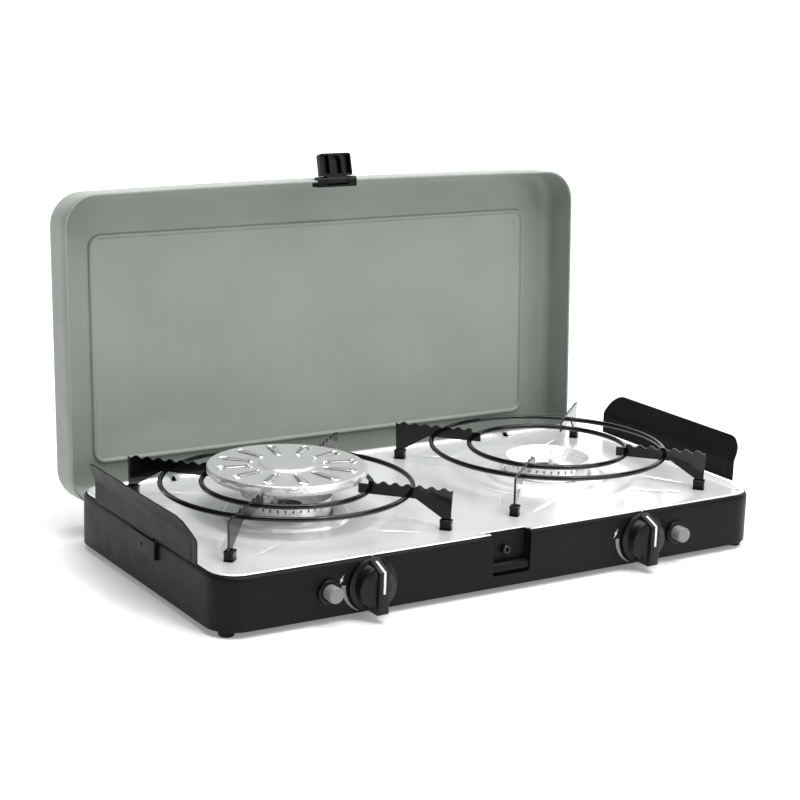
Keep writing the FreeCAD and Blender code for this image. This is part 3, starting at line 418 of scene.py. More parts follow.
def roundTree():
    # The part lies along +X from the axis and is repeated round the axis at equal angles.
    tree, start, end = newTree("repeatRound", [("Count", "Int", 4), ("First Angle", "Float", 0.0),
                                               ("Centre", "Vector", None),
                                               ("Finish", "Material", None)])
    points, index, share, turn, spin, stand = addNodes(
        tree, "GeometryNodePoints", "GeometryNodeInputIndex", "ShaderNodeMath", "ShaderNodeMath",
        "ShaderNodeCombineXYZ", "GeometryNodeInstanceOnPoints")
    share.operation = "DIVIDE"
    turn.operation = "MULTIPLY_ADD"
    turn.inputs[1].default_value = 2 * math.pi
    connect(tree, (start, "Count", points, "Count"), (start, "Centre", points, "Position"),
            (index, "Index", share, 0), (start, "Count", share, 1), (share, 0, turn, 0),
            (start, "First Angle", turn, 2), (turn, 0, spin, "Z"),
            (points, "Points", stand, "Points"), (start, "Geometry", stand, "Instance"),
            (spin, "Vector", stand, "Rotation"))
    return finishTree(tree, start, end, stand, "Instances")


def pointTree():
    # The part stands on every point of the carrier mesh.
    tree, start, end = newTree("repeatOnPoints", [("Part", "Object", None), ("Size", "Float", 1.0),
                                                  ("Finish", "Material", None)])
    info, stand = addNodes(tree, "GeometryNodeObjectInfo", "GeometryNodeInstanceOnPoints")
    connect(tree, (start, "Part", info, "Object"), (start, "Geometry", stand, "Points"),
            (info, "Geometry", stand, "Instance"), (start, "Size", stand, "Scale"))
    return finishTree(tree, start, end, stand, "Instances")


def wireTree():
    # A ring of round wire: a circle for its run and a circle for its section.
    tree, start, end = newTree("wireRing", [
        ("Ring Radius", "Float", 0.1), ("Wire Radius", "Float", 0.002), ("Ring Steps", "Int", 128),
        ("Wire Steps", "Int", 16), ("Centre", "Vector", None), ("Finish", "Material", None)])
    run, section, sweep, move, smooth = addNodes(
        tree, "GeometryNodeCurvePrimitiveCircle", "GeometryNodeCurvePrimitiveCircle",
        "GeometryNodeCurveToMesh", "GeometryNodeTransform", "GeometryNodeSetShadeSmooth")
    connect(tree, (start, "Ring Radius", run, "Radius"), (start, "Ring Steps", run, "Resolution"),
            (start, "Wire Radius", section, "Radius"), (start, "Wire Steps", section, "Resolution"),
            (run, "Curve", sweep, "Curve"), (section, "Curve", sweep, "Profile Curve"),
            (sweep, "Mesh", move, "Geometry"), (start, "Centre", move, "Translation"),
            (move, "Geometry", smooth, "Geometry"))
    return finishTree(tree, start, end, smooth, "Geometry")


trees = {"round": roundTree(), "points": pointTree(), "wire": wireTree()}


def growFrom(piece, treeName, **values):
    # A modifier's inputs are set by their identifiers, then the result becomes a plain mesh.
    tool = piece.modifiers.new(treeName, "NODES")
    tool.node_group = trees[treeName]
    wanted = {key.lower(): value for key, value in values.items()}
    for item in tool.node_group.interface.items_tree:
        key = item.name.replace(" ", "").lower()
        if item.in_out == "INPUT" and key in wanted:
            tool[item.identifier] = wanted[key]
    piece.update_tag()
    return settle(piece)


def repeatRound(piece, count, firstDegrees, centre, finish):
    return growFrom(piece, "round", count=count, firstAngle=math.radians(firstDegrees),
                    centre=tuple(c * mm for c in centre), finish=finishes[finish])


def repeatAt(name, part, places, finish):
    work = bmesh.new()
    for place in places:
        work.verts.new(Vector(place) * mm)
    mesh = bpy.data.meshes.new(name)
    work.to_mesh(mesh)
    work.free()
    piece = addObject(name, mesh)
    growFrom(piece, "points", part=part, finish=finishes[finish])
    bpy.data.objects.remove(part)
    return piece


print("helpers and node trees ready")


# Casing
casing = {
    "corner": 28.0, "wall": 1.2, "shoulder": 4.0, "lip": 7.0, "footRound": 0.4, "wallRows": (16, 32),
    "recessHalf": 20.8, "recessDepth": 12.6, "recessFloor": 11.0, "recessCorner": 4.0,
    "linerFront": 1.0, "linerGap": 0.15, "linerBack": ((0.15, 1.0), (-0.25, 0.3), (-1.0, 0.0)),
    "hingeX": 200.0, "hingeHalf": 3.0, "hingeDeep": 12.0, "hingeLow": 32.2, "edge": 0.45,
    "barFuller": {"out": 1.35, "up": 1.35},
}


def casingLoop(inset, height):
    c = casing
    outline = roundedOutline(casingHigh.x - inset, casingLow.y + frontBow["rise"] + inset,
                             casingHigh.y - inset, c["corner"] - inset)
    return [(x, y, height) for x, y in bowed(outline, frontBow["rise"], frontBow["half"])]


def recessSection(grow, y):
    # The recess seen from the front: a U with rounded lower corners.
    c = casing
    half = c["recessHalf"] + grow
    floor = casingLow.z + c["recessFloor"] - grow
    top = casingHigh.z
    r = c["recessCorner"] + grow
    left = [(-half, top), (-half, (top + floor) / 2)] + arcPoints(-half + r, floor + r, r, 180, 270, 6)
    right = arcPoints(half - r, floor + r, r, 270, 360, 6) + [(half, (top + floor) / 2), (half, top)]
    return [(x, y, z) for x, z in left + [(0, floor)] + right]


def casingPiece():
    c = casing
    low, high = casingLow.z, casingHigh.z
    inner = c["shoulder"] - c["wall"]
    loops = [casingLoop(c["wall"], low), casingLoop(c["footRound"], low)]
    loops += [casingLoop(0, low + up) for up in (c["footRound"], *c["wallRows"])]
    loops += [casingLoop(c["shoulder"] * over, high - c["shoulder"] * under)
              for over, under in quarterTurn(6)]
    loops += [casingLoop(c["lip"], high), casingLoop(c["lip"], high - c["wall"])]
    loops += [casingLoop(c["wall"] + inner * over, high - c["wall"] - inner * under)
              for over, under in quarterTurn(6)[::-1]]
    piece = loftedPiece("casing", "casingBlack", loops + loops[:1], 35, caps=False)
    cut = bmesh.new()
    room = [[(x, y, z + (5 if z > high - 1 else 0)) for x, y, z in recessSection(0, yAt)]
            for yAt in (casingLow.y - 5, casingLow.y + c["recessDepth"])]
    loft(cut, room, capFirst=True, capLast=True)
    for sign in sides.values():
        x = sign * c["hingeX"]
        blockOf(cut, (x - c["hingeHalf"], casingHigh.y - c["hingeDeep"], c["hingeLow"]),
                (x + c["hingeHalf"], casingHigh.y + 5, high + 5))
    carve(piece, pieceFrom("recessCutter", cut, "casingBlack"))
    return soften(piece, c["edge"], 50)


def recessLiner():
    # The pocket behind the front wall: side walls, floor and back in one moulding.
    c = casing
    front = casingLow.y + c["linerFront"]
    back = casingLow.y + c["recessDepth"]
    outer = c["wall"]
    rows = [recessSection(outer, front), recessSection(c["linerGap"], front)]
    rows += [recessSection(grow, back - short) for grow, short in c["linerBack"]]
    work = bmesh.new()
    corners = loft(work, rows, around=False)
    count = len(rows[0])
    work.faces.new(corners[-count:])
    behind = addMesh(work, recessSection(outer, back + outer), [])
    work.faces.new(list(reversed(behind)))
    for i in range(count - 1):
        work.faces.new((corners[i], behind[i], behind[i + 1], corners[i + 1]))
    for a, b in ((0, -1), (count - 1, 0)):
        rim = [corners[row * count + a] for row in range(len(rows))]
        work.faces.new(rim + [behind[a]] if b else [behind[a]] + rim[::-1])
    work.faces.new([behind[0], corners[(len(rows) - 1) * count], corners[-1], behind[-1]])
    return pieceFrom("recessLiner", work, "casingBlack", 40)


def recessBar():
    # The bar is a little fuller than its plain form.
    bar = fromFrame("recess_ledge_bar", "recessBar", "casingBlack", 30, 0.0)
    low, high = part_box("recess_ledge_bar")
    for corner in bar.data.vertices:
        corner.co.y = high.y + (corner.co.y - high.y) * casing["barFuller"]["out"]
        corner.co.z = low.z + (corner.co.z - low.z) * casing["barFuller"]["up"]
    return bar


attach(casingPiece(), "casing", "casing_black", "casing_shell")
attach(recessLiner(), "casing", "casing_black")
attach(recessBar(), "casing", "casing_black", "recess_ledge_bar")
print("casing made")


# Pressed sheet: outlines, rings and single points are joined by triangles, then lifted
def pressedSheet(name, finish, outline, rings, extras, keep, height, angle=60):
    points, edges = [], []
    for ring in [outline] + rings:
        start = len(points)
        points += ring
        edges += [(start + i, start + (i + 1) % len(ring)) for i in range(len(ring))]
    points += extras
    result = delaunay_2d_cdt([Vector(p) for p in points], edges, [], 0, 1e-4)
    flat, faces = result[0], result[2]
    work = bmesh.new()
    corners = [work.verts.new((p.x * mm, p.y * mm, height(p.x, p.y) * mm)) for p in flat]
    for face in faces:
        middle = sum((flat[i] for i in face), Vector((0, 0))) / len(face)
        if keep(middle.x, middle.y):
            work.faces.new([corners[i] for i in face])
    loose = [v for v in work.verts if not v.link_faces]
    bmesh.ops.delete(work, geom=loose, context="VERTS")
    up = sum(face.normal.z for face in work.faces if not face.normal_update())
    if up < 0:
        bmesh.ops.reverse_faces(work, faces=work.faces)
    return pieceFrom(name, work, finish, angle, fixNormals=False)


def smoothStep(value, low, high):
    t = min(1.0, max(0.0, (value - low) / (high - low)))
    return t * t * (3 - 2 * t)


# Pan support sizes, which the tray's pressed lines follow too
support = {
    "turn": 42.8, "thickness": 2.0, "outer": 160.5, "tabInner": 70.0, "tabOuter": 79.5, "legInset": 1.0,
    "tabTop": boxOf("heat_diffuser")[0].z - 0.4, "bottom": 80.8, "waveInner": 92.6, "waveOuter": 92.4,
    "waves": 7, "waveHeight": 1.5, "waveFlat": 1.2, "legWidth": 9.0, "legFoot": 57.0, "legKnee": 65.2,
    "legTop": 70.0, "braceStart": 125.5, "edge": 0.3,
    "socketOuter": (5.8, 4.75), "socketSlot": (4.8, 1.3), "socketCorner": 1.4,
}

# Hob tray
tray = {
    "surface": boxOf("support_sockets_left")[0].z, "floor": boxOf("burner_head_left")[0].z,
    "rimTop": boxOf("hob_tray")[1].z, "sheet": 0.8, "wellRadius": 92.0, "mouth": 26.0,
    "recessGap": 1.4, "spacing": 5.0, "creaseDepth": 0.7, "creaseWidth": 1.3, "creaseSteps": 32,
    "creaseFrom": (98, 16), "creaseTo": (146, 5.5), "creaseRows": (-1.3, -0.8, -0.35, 0, 0.35, 0.8, 1.3),
    "extraRings": [46, 49, 53, 56.5, 78, 80, 82, 84, 86, 88, 90, 92, 95],
    "gridClear": 98, "gridInset": 15,  # the even grid keeps this far off the burners and the rim
    "notchHeights": (40, 70), "hingeNotch": (138.5, 170),
    "dish": [(26, 0), (43.2, 0), (44.0, 6.6), (45.0, 8.0), (47.0, 8.6), (51.0, 8.5), (55.0, 7.9),
             (58.0, 6.8), (60.0, 5.2), (61.2, 3.8), (62.6, 3.1), (66.0, 3.0), (76.0, 3.0)],
}


def trayLoop(inset):
    outline = roundedOutline(casingHigh.x - inset, casingLow.y + frontBow["rise"] + inset,
                             casingHigh.y - inset, max(6.0, casing["corner"] - inset))
    return bowed(outline, frontBow["rise"], frontBow["half"])


def trayInset(x, y):
    # How far a point lies inside the casing's outline.
    halfX = casingHigh.x
    low = frontFace(x)
    high = casingHigh.y
    r = casing["corner"]
    dx = abs(x) - (halfX - r)
    dy = max(low + r - y, y - (high - r))
    if dx > 0 and dy > 0:
        return r - math.hypot(dx, dy)
    return min(halfX - abs(x), y - low, high - y)


beadRise = [(3.0, -0.9), (3.4, -0.3), (4.2, 0), (6.6, 0), (7.6, 0.09), (8.4, 0.28), (9.0, 0.5),
            (9.6, 0.7), (10.4, 0.88), (11.4, 0.97), (12.6, 1)]
beadDrop = tray["rimTop"] - tray["surface"]
beadProfile = [(inset, tray["rimTop"] + (part if part < 0 else -part * beadDrop))
               for inset, part in beadRise]


def heightAlong(profile, place):
    if place <= profile[0][0]:
        return profile[0][1]
    for (a, za), (b, zb) in zip(profile, profile[1:]):
        if place <= b:
            return za + (zb - za) * (place - a) / (b - a)
    return profile[-1][1]


def creases():
    # Pressed lines that run from the round dish out to the support sockets, by radius and angle.
    lines = []
    (startAt, startTurn), (endAt, endTurn) = tray["creaseFrom"], tray["creaseTo"]
    for centre in burner.values():
        for turn in range(4):
            base = support["turn"] + 90 * turn
            for side in (-1, 1):
                a, b = math.radians(base + side * startTurn), math.radians(base + side * endTurn)
                lines.append((centre.x + startAt * math.cos(a), centre.y + startAt * math.sin(a),
                              centre.x + endAt * math.cos(b), centre.y + endAt * math.sin(b)))
    return lines


trayCreases = creases()


def trayHeight(x, y):
    t = tray
    height = heightAlong(beadProfile, trayInset(x, y))
    for centre in burner.values():
        r = math.hypot(x - centre.x, y - centre.y)
        if r < t["wellRadius"]:
            dish = t["floor"] + heightAlong(t["dish"], r)
            height = dish + (height - dish) * smoothStep(r, t["dish"][-1][0], t["wellRadius"])
    for ax, ay, bx, by in trayCreases:
        dx, dy = bx - ax, by - ay
        along = min(1.0, max(0.0, ((x - ax) * dx + (y - ay) * dy) / (dx * dx + dy * dy)))
        away = math.hypot(x - ax - dx * along, y - ay - dy * along)
        if away < t["creaseWidth"]:
            fade = math.sin(math.pi * min(1.0, 0.08 + along))
            height -= t["creaseDepth"] * fade * (1 - smoothStep(away, 0, t["creaseWidth"]))
    return height


def trayPiece():
    t = tray
    notchHalf = casing["recessHalf"] + t["recessGap"]
    notchBack = casingLow.y + casing["recessDepth"] + casing["wall"] + t["recessGap"]
    outline = trayLoop(beadProfile[0][0])
    rings = [trayLoop(inset) for inset, height in beadProfile[1:]]
    for centre in burner.values():
        rings += [ringPoints(centre, radius, 120 if radius > 40 else 72)
                  for radius in [radius for radius, height in t["dish"]] + t["extraRings"]]
    extras = []
    steps = t["creaseSteps"]
    for ax, ay, bx, by in trayCreases:
        length = math.hypot(bx - ax, by - ay)
        ux, uy = (bx - ax) / length, (by - ay) / length
        extras += [(ax + ux * length * i / steps - uy * row, ay + uy * length * i / steps + ux * row)
                   for i in range(steps + 1) for row in t["creaseRows"]]
    columns = int(2 * casingHigh.x / t["spacing"])
    rows = int((casingHigh.y - casingLow.y) / t["spacing"])
    for i in range(columns + 1):
        for j in range(rows + 1):
            x = -casingHigh.x + i * t["spacing"]
            y = casingLow.y + j * t["spacing"]
            clear = all(math.hypot(x - c.x, y - c.y) > t["gridClear"] for c in burner.values())
            if trayInset(x, y) > t["gridInset"] and clear:
                extras.append((x, y))

    def keep(x, y):
        outside = trayInset(x, y) < beadProfile[0][0] - 0.02
        hole = any(math.hypot(x - c.x, y - c.y) < t["mouth"] - 0.2 for c in burner.values())
        return not outside and not hole

    piece = pressedSheet("hobTray", "traySteel", outline, rings, extras, keep, trayHeight)
    thicken(piece, t["sheet"], -1)
    cut = bmesh.new()
    low, high = t["notchHeights"]
    blockOf(cut, (-notchHalf, casingLow.y - 5, low), (notchHalf, notchBack, high))
    for sign in sides.values():
        x = sign * casing["hingeX"]
        blockOf(cut, (x - casing["hingeHalf"], t["hingeNotch"][0], low),
                (x + casing["hingeHalf"], t["hingeNotch"][1], high))
    return carve(piece, pieceFrom("trayCutter", cut, "traySteel"))


attach(trayPiece(), "casing", "tray_steel", "hob_tray")
print("hob tray made")


# Heat diffuser
diffuserLow, diffuserHigh = boxOf("heat_diffuser")
diffuser = {
    "radius": 75.4, "round": 1.2, "dome": 28.5, "domeRise": 2.2, "domeRun": 4.5, "sheet": 0.9,
    "louvres": 12, "louvreInner": 33.0, "louvreOuter": 68.5, "halfInner": 2.8, "halfOuter": 4.7,
    # Two keys below size a dark sheet of painted shade inside the skirt.
    "roll": 0.7, "lip": 0.9, "liningRadius": 74.3, "liningSheet": 0.4, "steps": 144,
    "edgeDegrees": (75, 60, 45, 30, 15),
    "topRings": (70.0, 31, 28.5, 28, 27.4, 26.8, 26.2, 25.6, 25, 24.5, 24, 20, 14, 8),
    "skirt": ((75.4, 4.0), (75.0, 3.5), (72.1, 3.2), (71.6, 2.8), (71.5, 0)),
}


def louvreOutline(grow, steps=8):
    # A slot that widens outwards, with round ends.
    d = diffuser
    wide, narrow = d["halfOuter"] + grow, d["halfInner"] + grow
    far = d["louvreOuter"] - d["halfOuter"] - d["roll"]
    near = d["louvreInner"] + d["halfInner"] + d["roll"]
    return (arcPoints(far, 0, wide, -90, 90, steps)
            + between((far, wide), (near, narrow), 9)
            + arcPoints(near, 0, narrow, 90, 270, steps)
            + between((near, -narrow), (far, -wide), 9))


def turnedBy(points, degrees, centre):
    c, s = math.cos(math.radians(degrees)), math.sin(math.radians(degrees))
    return [(centre.x + x * c - y * s, centre.y + x * s + y * c) for x, y in points]


def diffuserTop(x, y):
    d = diffuser
    r = math.hypot(x - burner["left"].x, y - burner["left"].y)
    top = diffuserHigh.z - d["domeRise"]
    rise = d["domeRise"] * (0.82 * smoothStep(d["dome"] - r, 0, d["domeRun"])
                            + 0.18 * max(0.0, 1 - (r / d["dome"]) ** 2))
    edge = max(0.0, r - (d["radius"] - d["round"]))
    return top + rise - (d["round"] - math.sqrt(max(0.0, d["round"] ** 2 - edge ** 2)))


def onDiffuser(x, y):
    # Whether a point lies on the disc and off its louvres.
    d = diffuser
    x, y = x - burner["left"].x, y - burner["left"].y
    r = math.hypot(x, y)
    if r > d["radius"]:
        return False
    pitch = 360 / d["louvres"]
    local = math.radians((math.degrees(math.atan2(y, x)) % pitch) - pitch / 2)
    along, across = r * math.cos(local), abs(r * math.sin(local))
    narrow, wide = d["halfInner"] + d["roll"], d["halfOuter"] + d["roll"]
    start, end = d["louvreInner"] + narrow, d["louvreOuter"] - wide
    if start <= along <= end:
        return across > narrow + (wide - narrow) * (along - start) / (end - start) - 0.02
    return (math.hypot(along - start, across) > narrow - 0.02
            and math.hypot(along - end, across) > wide - 0.02)


def diffuserPiece():
    d = diffuser
    centre = burner["left"]
    turnIn = d["radius"] - d["round"]
    radii = [turnIn + d["round"] * math.sin(math.radians(a)) for a in d["edgeDegrees"]]
    rings = [ringPoints(centre, radius, d["steps"]) for radius in radii + [turnIn, *d["topRings"]]]
    turns = [(i + 0.5) * 360 / d["louvres"] for i in range(d["louvres"])]
    rings += [turnedBy(louvreOutline(d["roll"]), turn, centre) for turn in turns]
    top = pressedSheet("diffuserTop", "diffuserSteel", ringPoints(centre, d["radius"], d["steps"]),
                       rings, [(centre.x, centre.y)], onDiffuser, diffuserTop)
    work = bmesh.new()
    work.from_mesh(top.data)
    bpy.data.objects.remove(top)
    flat = diffuserHigh.z - d["domeRise"]
    for turn in turns:
        rows = [[(x, y, flat - d["roll"] * down)
                 for x, y in turnedBy(louvreOutline(d["roll"] * grow), turn, centre)]
                for down, grow in quarterTurn(5)]
        rows.append([(x, y, flat - d["lip"]) for x, y, z in rows[-1]])
        loft(work, rows[::-1])
    profile = [(d["radius"], flat - d["round"])]
    profile += [(radius, diffuserLow.z + up) for radius, up in d["skirt"]]
    skirt = [[(x, y, height) for x, y in ringPoints(centre, radius, d["steps"])]
             for radius, height in profile]
    loft(work, skirt[::-1])
    piece = pieceFrom("heatDiffuser", work, "diffuserSteel", 50, fixNormals=False)
    return thicken(piece, d["sheet"], -1)


def diffuserLining():
    # A dark sheet inside the skirt is painted shade, which shows through the far louvres.
    d = diffuser
    outer, inner = d["liningRadius"], d["liningRadius"] - d["liningSheet"]
    low, high = diffuserLow.z + 4.4, diffuserHigh.z - d["domeRise"] - 1.0
    middle = Vector((burner["left"].x, burner["left"].y, 0))
    profile = [(inner, low), (outer, low), (outer, high), (inner, high)]
    return turnedPiece("diffuserLining", "socketBlack", profile, middle, 96, "z")


attach(diffuserPiece(), "heat_diffuser", "burner_steel", "heat_diffuser")
attach(diffuserLining(), "heat_diffuser", "socket_black")
print("heat diffuser made")


# Burners
for name in sides:
    refine("burner_head_" + name, "burnerHead_" + name, "casing", "burner_steel", "burnerSteel", 30, 0.25)
    refine("burner_bowl_" + name, "burnerBowl_" + name, "casing", "burner_steel", "burnerSteel", 30, 0.2)
    refine("spark_electrode_" + name, "sparkElectrode_" + name, "casing", "zinc_steel", "zincSteel", 40)
refine("electrode_ceramics", "electrodeCeramics", "casing", "ceramic_white", "ceramicWhite", 40, 0.3)
refine("burner_screws", "burnerScrews", "casing", "zinc_steel", "zincSteel", 30, 0.3)
print("burners made")


# Pan supports
def bladePiece():
    s = support
    legOut = s["outer"] - s["legInset"]
    legIn = legOut - s["legWidth"]
    run = s["outer"] - s["tabOuter"]
    steps = s["waves"] * 10
    top = []
    for i in range(steps + 1):
        part = i / steps
        lift = s["waveHeight"] * -math.sin(2 * math.pi * s["waves"] * part)
        middle = s["waveOuter"] + (s["waveInner"] - s["waveOuter"]) * part
        top.append((s["outer"] - run * part, middle + min(lift, s["waveFlat"])))
    shape = top + [(s["tabOuter"], s["tabTop"]), (s["tabInner"], s["tabTop"]),
                   (s["tabInner"], s["bottom"]), (s["braceStart"], s["bottom"]),
                   (legIn, s["legKnee"]), (legIn, s["legFoot"]), (legOut, s["legFoot"]),
                   (legOut, s["legTop"])]
    half = s["thickness"] / 2
    faces = [[(x, y, z) for x, z in shape] for y in (-half, half)]
    return soften(loftedPiece("blade", "enamelBlack", faces, 30), s["edge"], 30)


def socketPiece():
    s = support
    centre = s["outer"] - s["legInset"] - s["legWidth"] / 2
    low, high = (corner.z for corner in boxOf("support_sockets_left"))
    outerX, outerY = s["socketOuter"]
    slotX, slotY = s["socketSlot"]

    def ring(halfX, halfY, radius, height):
        outline = roundedOutline(halfX, -halfY, halfY, radius, 4, 2, 2)
        return [(centre + x, y, height) for x, y in outline]

    rings = []
    for grow, height in ((-0.1, low), (0.0, low + 0.8), (-0.3, low + 1.2), (-0.3, high - 3.2),
                         (0.0, high - 2.8), (0.0, high - 0.5), (-0.5, high)):
        rings.append(ring(outerX + grow, outerY + grow, s["socketCorner"] + 0.6 + grow, height))
    for grow, height in ((0.5, high), (0.0, high - 0.6), (0.0, s["legFoot"] - 0.3)):
        rings.append(ring(slotX + grow, slotY + grow, 0.5, height))
    return loftedPiece("socket", "socketBlack", rings, 40)


def wireRing(name, node, finish):
    low, high = boxOf(node)
    wire = (high.z - low.z) / 2
    carrier = addObject(name, bpy.data.meshes.new(name))
    centre = (low + high) / 2
    return growFrom(carrier, "wire", ringRadius=((high.x - low.x) / 2 - wire) * mm,
                    wireRadius=wire * mm, ringSteps=160, wireSteps=20,
                    centre=tuple(centre * mm), finish=finishes[finish])


for name in sides:
    body = "pan_support_" + name
    centre = (burner[name].x, burner[name].y, 0)
    for ring in ("outer", "inner"):
        node = "support_{}_ring_{}".format(ring, name)
        piece = wireRing("supportRing_{}_{}".format(ring, name), node, "enamelBlack")
        attach(piece, body, "enamel_black", node)
    blades = repeatRound(bladePiece(), 4, support["turn"], centre, "enamelBlack")
    blades.name = "supportBlades_" + name
    attach(blades, body, "enamel_black", "support_blades_" + name)
    sockets = repeatRound(socketPiece(), 4, support["turn"], centre, "socketBlack")
    sockets.name = "supportSockets_" + name
    attach(sockets, "casing", "socket_black", "support_sockets_" + name)
print("pan supports made")


# Wind guards
guardLow, guardHigh = boxOf("wind_guard_right")
guard = {
    "sheet": 1.0, "bottom": 57.5, "wall": 21.5, "flare": 12.0, "corner": 20.0,
    "tongueHalf": 20.0, "tongueMiddle": -6.0, "bend": 3.0, "columns": 90, "rows": 26,
    "pinchAt": 9.0, "pinchWidth": 2.2, "pinchDepth": 0.5,
}


def guardPiece(name, sign):
    g = guard
    total = guardHigh.z - g["bottom"]
    x0 = guardLow.x
    columns, rows = g["columns"], g["rows"]
    length = guardHigh.y - guardLow.y
    grid = []
    for i in range(columns + 1):
        along = length * (0.5 - 0.5 * math.cos(math.pi * i / columns))
        ends = min(along, length - along)
        cornerDrop = 0.0
        if ends < g["corner"]:
            cornerDrop = g["corner"] - math.sqrt(g["corner"] ** 2 - (g["corner"] - ends) ** 2)
        pinch = g["pinchDepth"] * math.exp(-((along - g["pinchAt"]) / g["pinchWidth"]) ** 2)
        column = []
        for j in range(rows + 1):
            height = (total - cornerDrop) * j / rows
            over = max(0.0, height - g["wall"] + g["bend"])
            ease = over ** 2 / (4 * g["bend"]) if over < 2 * g["bend"] else over - g["bend"]
            lean = ease * g["flare"] / (total - g["wall"])
            column.append((sign * (x0 + g["sheet"] / 2 + lean - pinch), guardLow.y + along,
                           g["bottom"] + height))
        grid.append(column)
    piece = loftedPiece("guardSheet", "guardBlack", grid, 60, caps=False, around=False)
    thicken(piece, g["sheet"] - 0.02, 0)
    soften(piece, 0.3, 60)
    work = bmesh.new()
    work.from_mesh(piece.data)
    middle, half = g["tongueMiddle"], g["tongueHalf"]
    xs = sorted((sign * x0, sign * (x0 + g["sheet"])))
    blockOf(work, (xs[0], middle - half, guardLow.z), (xs[1], middle + half, g["bottom"] + 0.5))
    bpy.data.objects.remove(piece)
    return pieceFrom("windGuard_" + name, work, "guardBlack", 45)


for name, sign in sides.items():
    attach(guardPiece(name, sign), "wind_guard_" + name, "guard_black", "wind_guard_" + name)
refine("guard_brackets", "guardBrackets", "casing", "casing_black", "casingBlack", 30, 0.3)
print("wind guards made")


# Knobs, their marks and the spark buttons
knob = {
    "skirt": 24.2, "skirtDepth": 3.0, "body": 19.5, "bodyDepth": 13.0,
    "gripHalf": 5.2, "gripDepth": 21.5, "slope": 7.4, "reach": 23.8, "footUp": 1.6, "footBack": 3.4,
    "lineWidth": 2.4, "lineRun": 16.5, "lineDrop": 20.0, "lineProud": 0.06, "lineThick": 0.4, "edge": 0.9,
    "dotRadius": 1.7, "dotAt": 26.9, "arcInner": 26.2, "arcWide": 4.2, "arcThin": 0.25,
    "arcStart": 176, "arcSweep": 66, "arcSteps": 24, "print": 0.1, "sparkAt": (-30.6, 7.4),
    "spark": [(2.6, 4.4), (-1.8, -0.1), (-0.2, -0.4), (-2.6, -4.4), (1.8, 0.1), (0.2, 0.5)],
}


def knobPiece(name):
    k = knob
    at = knobAt[name]
    back = boxOf("knob_" + name)[1].y
    centre = Vector((at.x, 0, at.z))
    sr, br = k["skirt"], k["body"]
    skirtFront, bodyFront, gripFront = back - k["skirtDepth"], back - k["bodyDepth"], back - k["gripDepth"]
    profile = [(0, back), (sr, back), (sr, skirtFront + 0.9), (sr - 0.3, skirtFront + 0.3),
               (sr - 0.9, skirtFront), (br + 0.6, skirtFront), (br, skirtFront - 0.6),
               (br - 0.35, bodyFront + 1.6), (br - 0.8, bodyFront + 0.6), (br - 1.8, bodyFront),
               (0, bodyFront)]
    piece = turnedPiece("knobBody_" + name, "knobBlack", profile, centre, 96, "y", 32)
    reach = k["reach"]
    outline = [(back - 0.5, reach), (skirtFront, reach), (gripFront, reach - k["slope"]),
               (gripFront, -reach + k["footUp"]), (gripFront + k["footBack"], -reach), (back - 0.5, -reach)]
    faces = [[(at.x + x, y, at.z + z) for y, z in outline] for x in (-k["gripHalf"], k["gripHalf"])]
    bar = soften(loftedPiece("grip", "knobBlack", faces, 30), k["edge"], 30, 3)
    carve(piece, bar, "UNION")
    shadeByAngle(piece.data, 32)
    return piece


def pointerPiece(name):
    # The white line, let into the grip's sloping top and its front.
    k = knob
    at = knobAt[name]
    front = boxOf("knob_" + name)[1].y - k["gripDepth"]
    top = at.z + k["reach"] - k["slope"]
    slope = Vector((0, k["gripDepth"] - k["skirtDepth"], k["slope"])).normalized()
    out = k["lineProud"]
    path = [(front - out + slope.y * k["lineRun"], top + slope.z * k["lineRun"] + out),
            (front + 1.0, top + slope.z / slope.y * 1.0 + out), (front + 0.25, top - 0.1 + out),
            (front - out, top - 0.9), (front - out, top - k["lineDrop"])]
    half = k["lineWidth"] / 2
    grid = [[(at.x + x, y, z) for y, z in path] for x in (-half, half)]
    piece = loftedPiece("knobPointer_" + name, "printWhite", grid, 60, caps=False, around=False)
    if any(face.normal.y > 0 for face in piece.data.polygons):
        piece.data.flip_normals()
    return thicken(piece, k["lineThick"], -1)


def printed(name, shapes, finish):
    # Flat marks on the casing's front, as thick as a coat of ink.
    work = bmesh.new()
    for shape in shapes:
        rows = []
        for depth in (0.0, knob["print"]):
            rows.append([(x, frontFace(x) - depth, z) for x, z in shape])
        loft(work, rows, capFirst=True, capLast=True)
    return pieceFrom(name, work, finish, 30)


def dialMarks(name):
    k = knob
    at = knobAt[name]
    dot = arcPoints(at.x, at.z + k["dotAt"], k["dotRadius"], 0, 340, 17)
    inner = arcPoints(at.x, at.z, k["arcInner"], k["arcStart"], k["arcStart"] + k["arcSweep"],
                      k["arcSteps"])
    outer = []
    for i, (x, z) in enumerate(inner):
        wide = k["arcWide"] * (1 - i / k["arcSteps"]) ** 0.8 + k["arcThin"]
        grow = (k["arcInner"] + wide) / k["arcInner"]
        outer.append((at.x + (x - at.x) * grow, at.z + (z - at.z) * grow))
    spark = [(at.x + k["sparkAt"][0] + x, at.z + k["sparkAt"][1] + z) for x, z in k["spark"]]
    marks = printed("dialMarks_" + name, [dot, spark], "printWhite")
    arc = printed("dialArc_" + name, [outer + inner[::-1]], "printGrey")
    return marks, arc


button = {"depth": 13.5, "stem": 3.0, "collarOuter": 11.4, "collarInner": 7.6, "steps": 64}


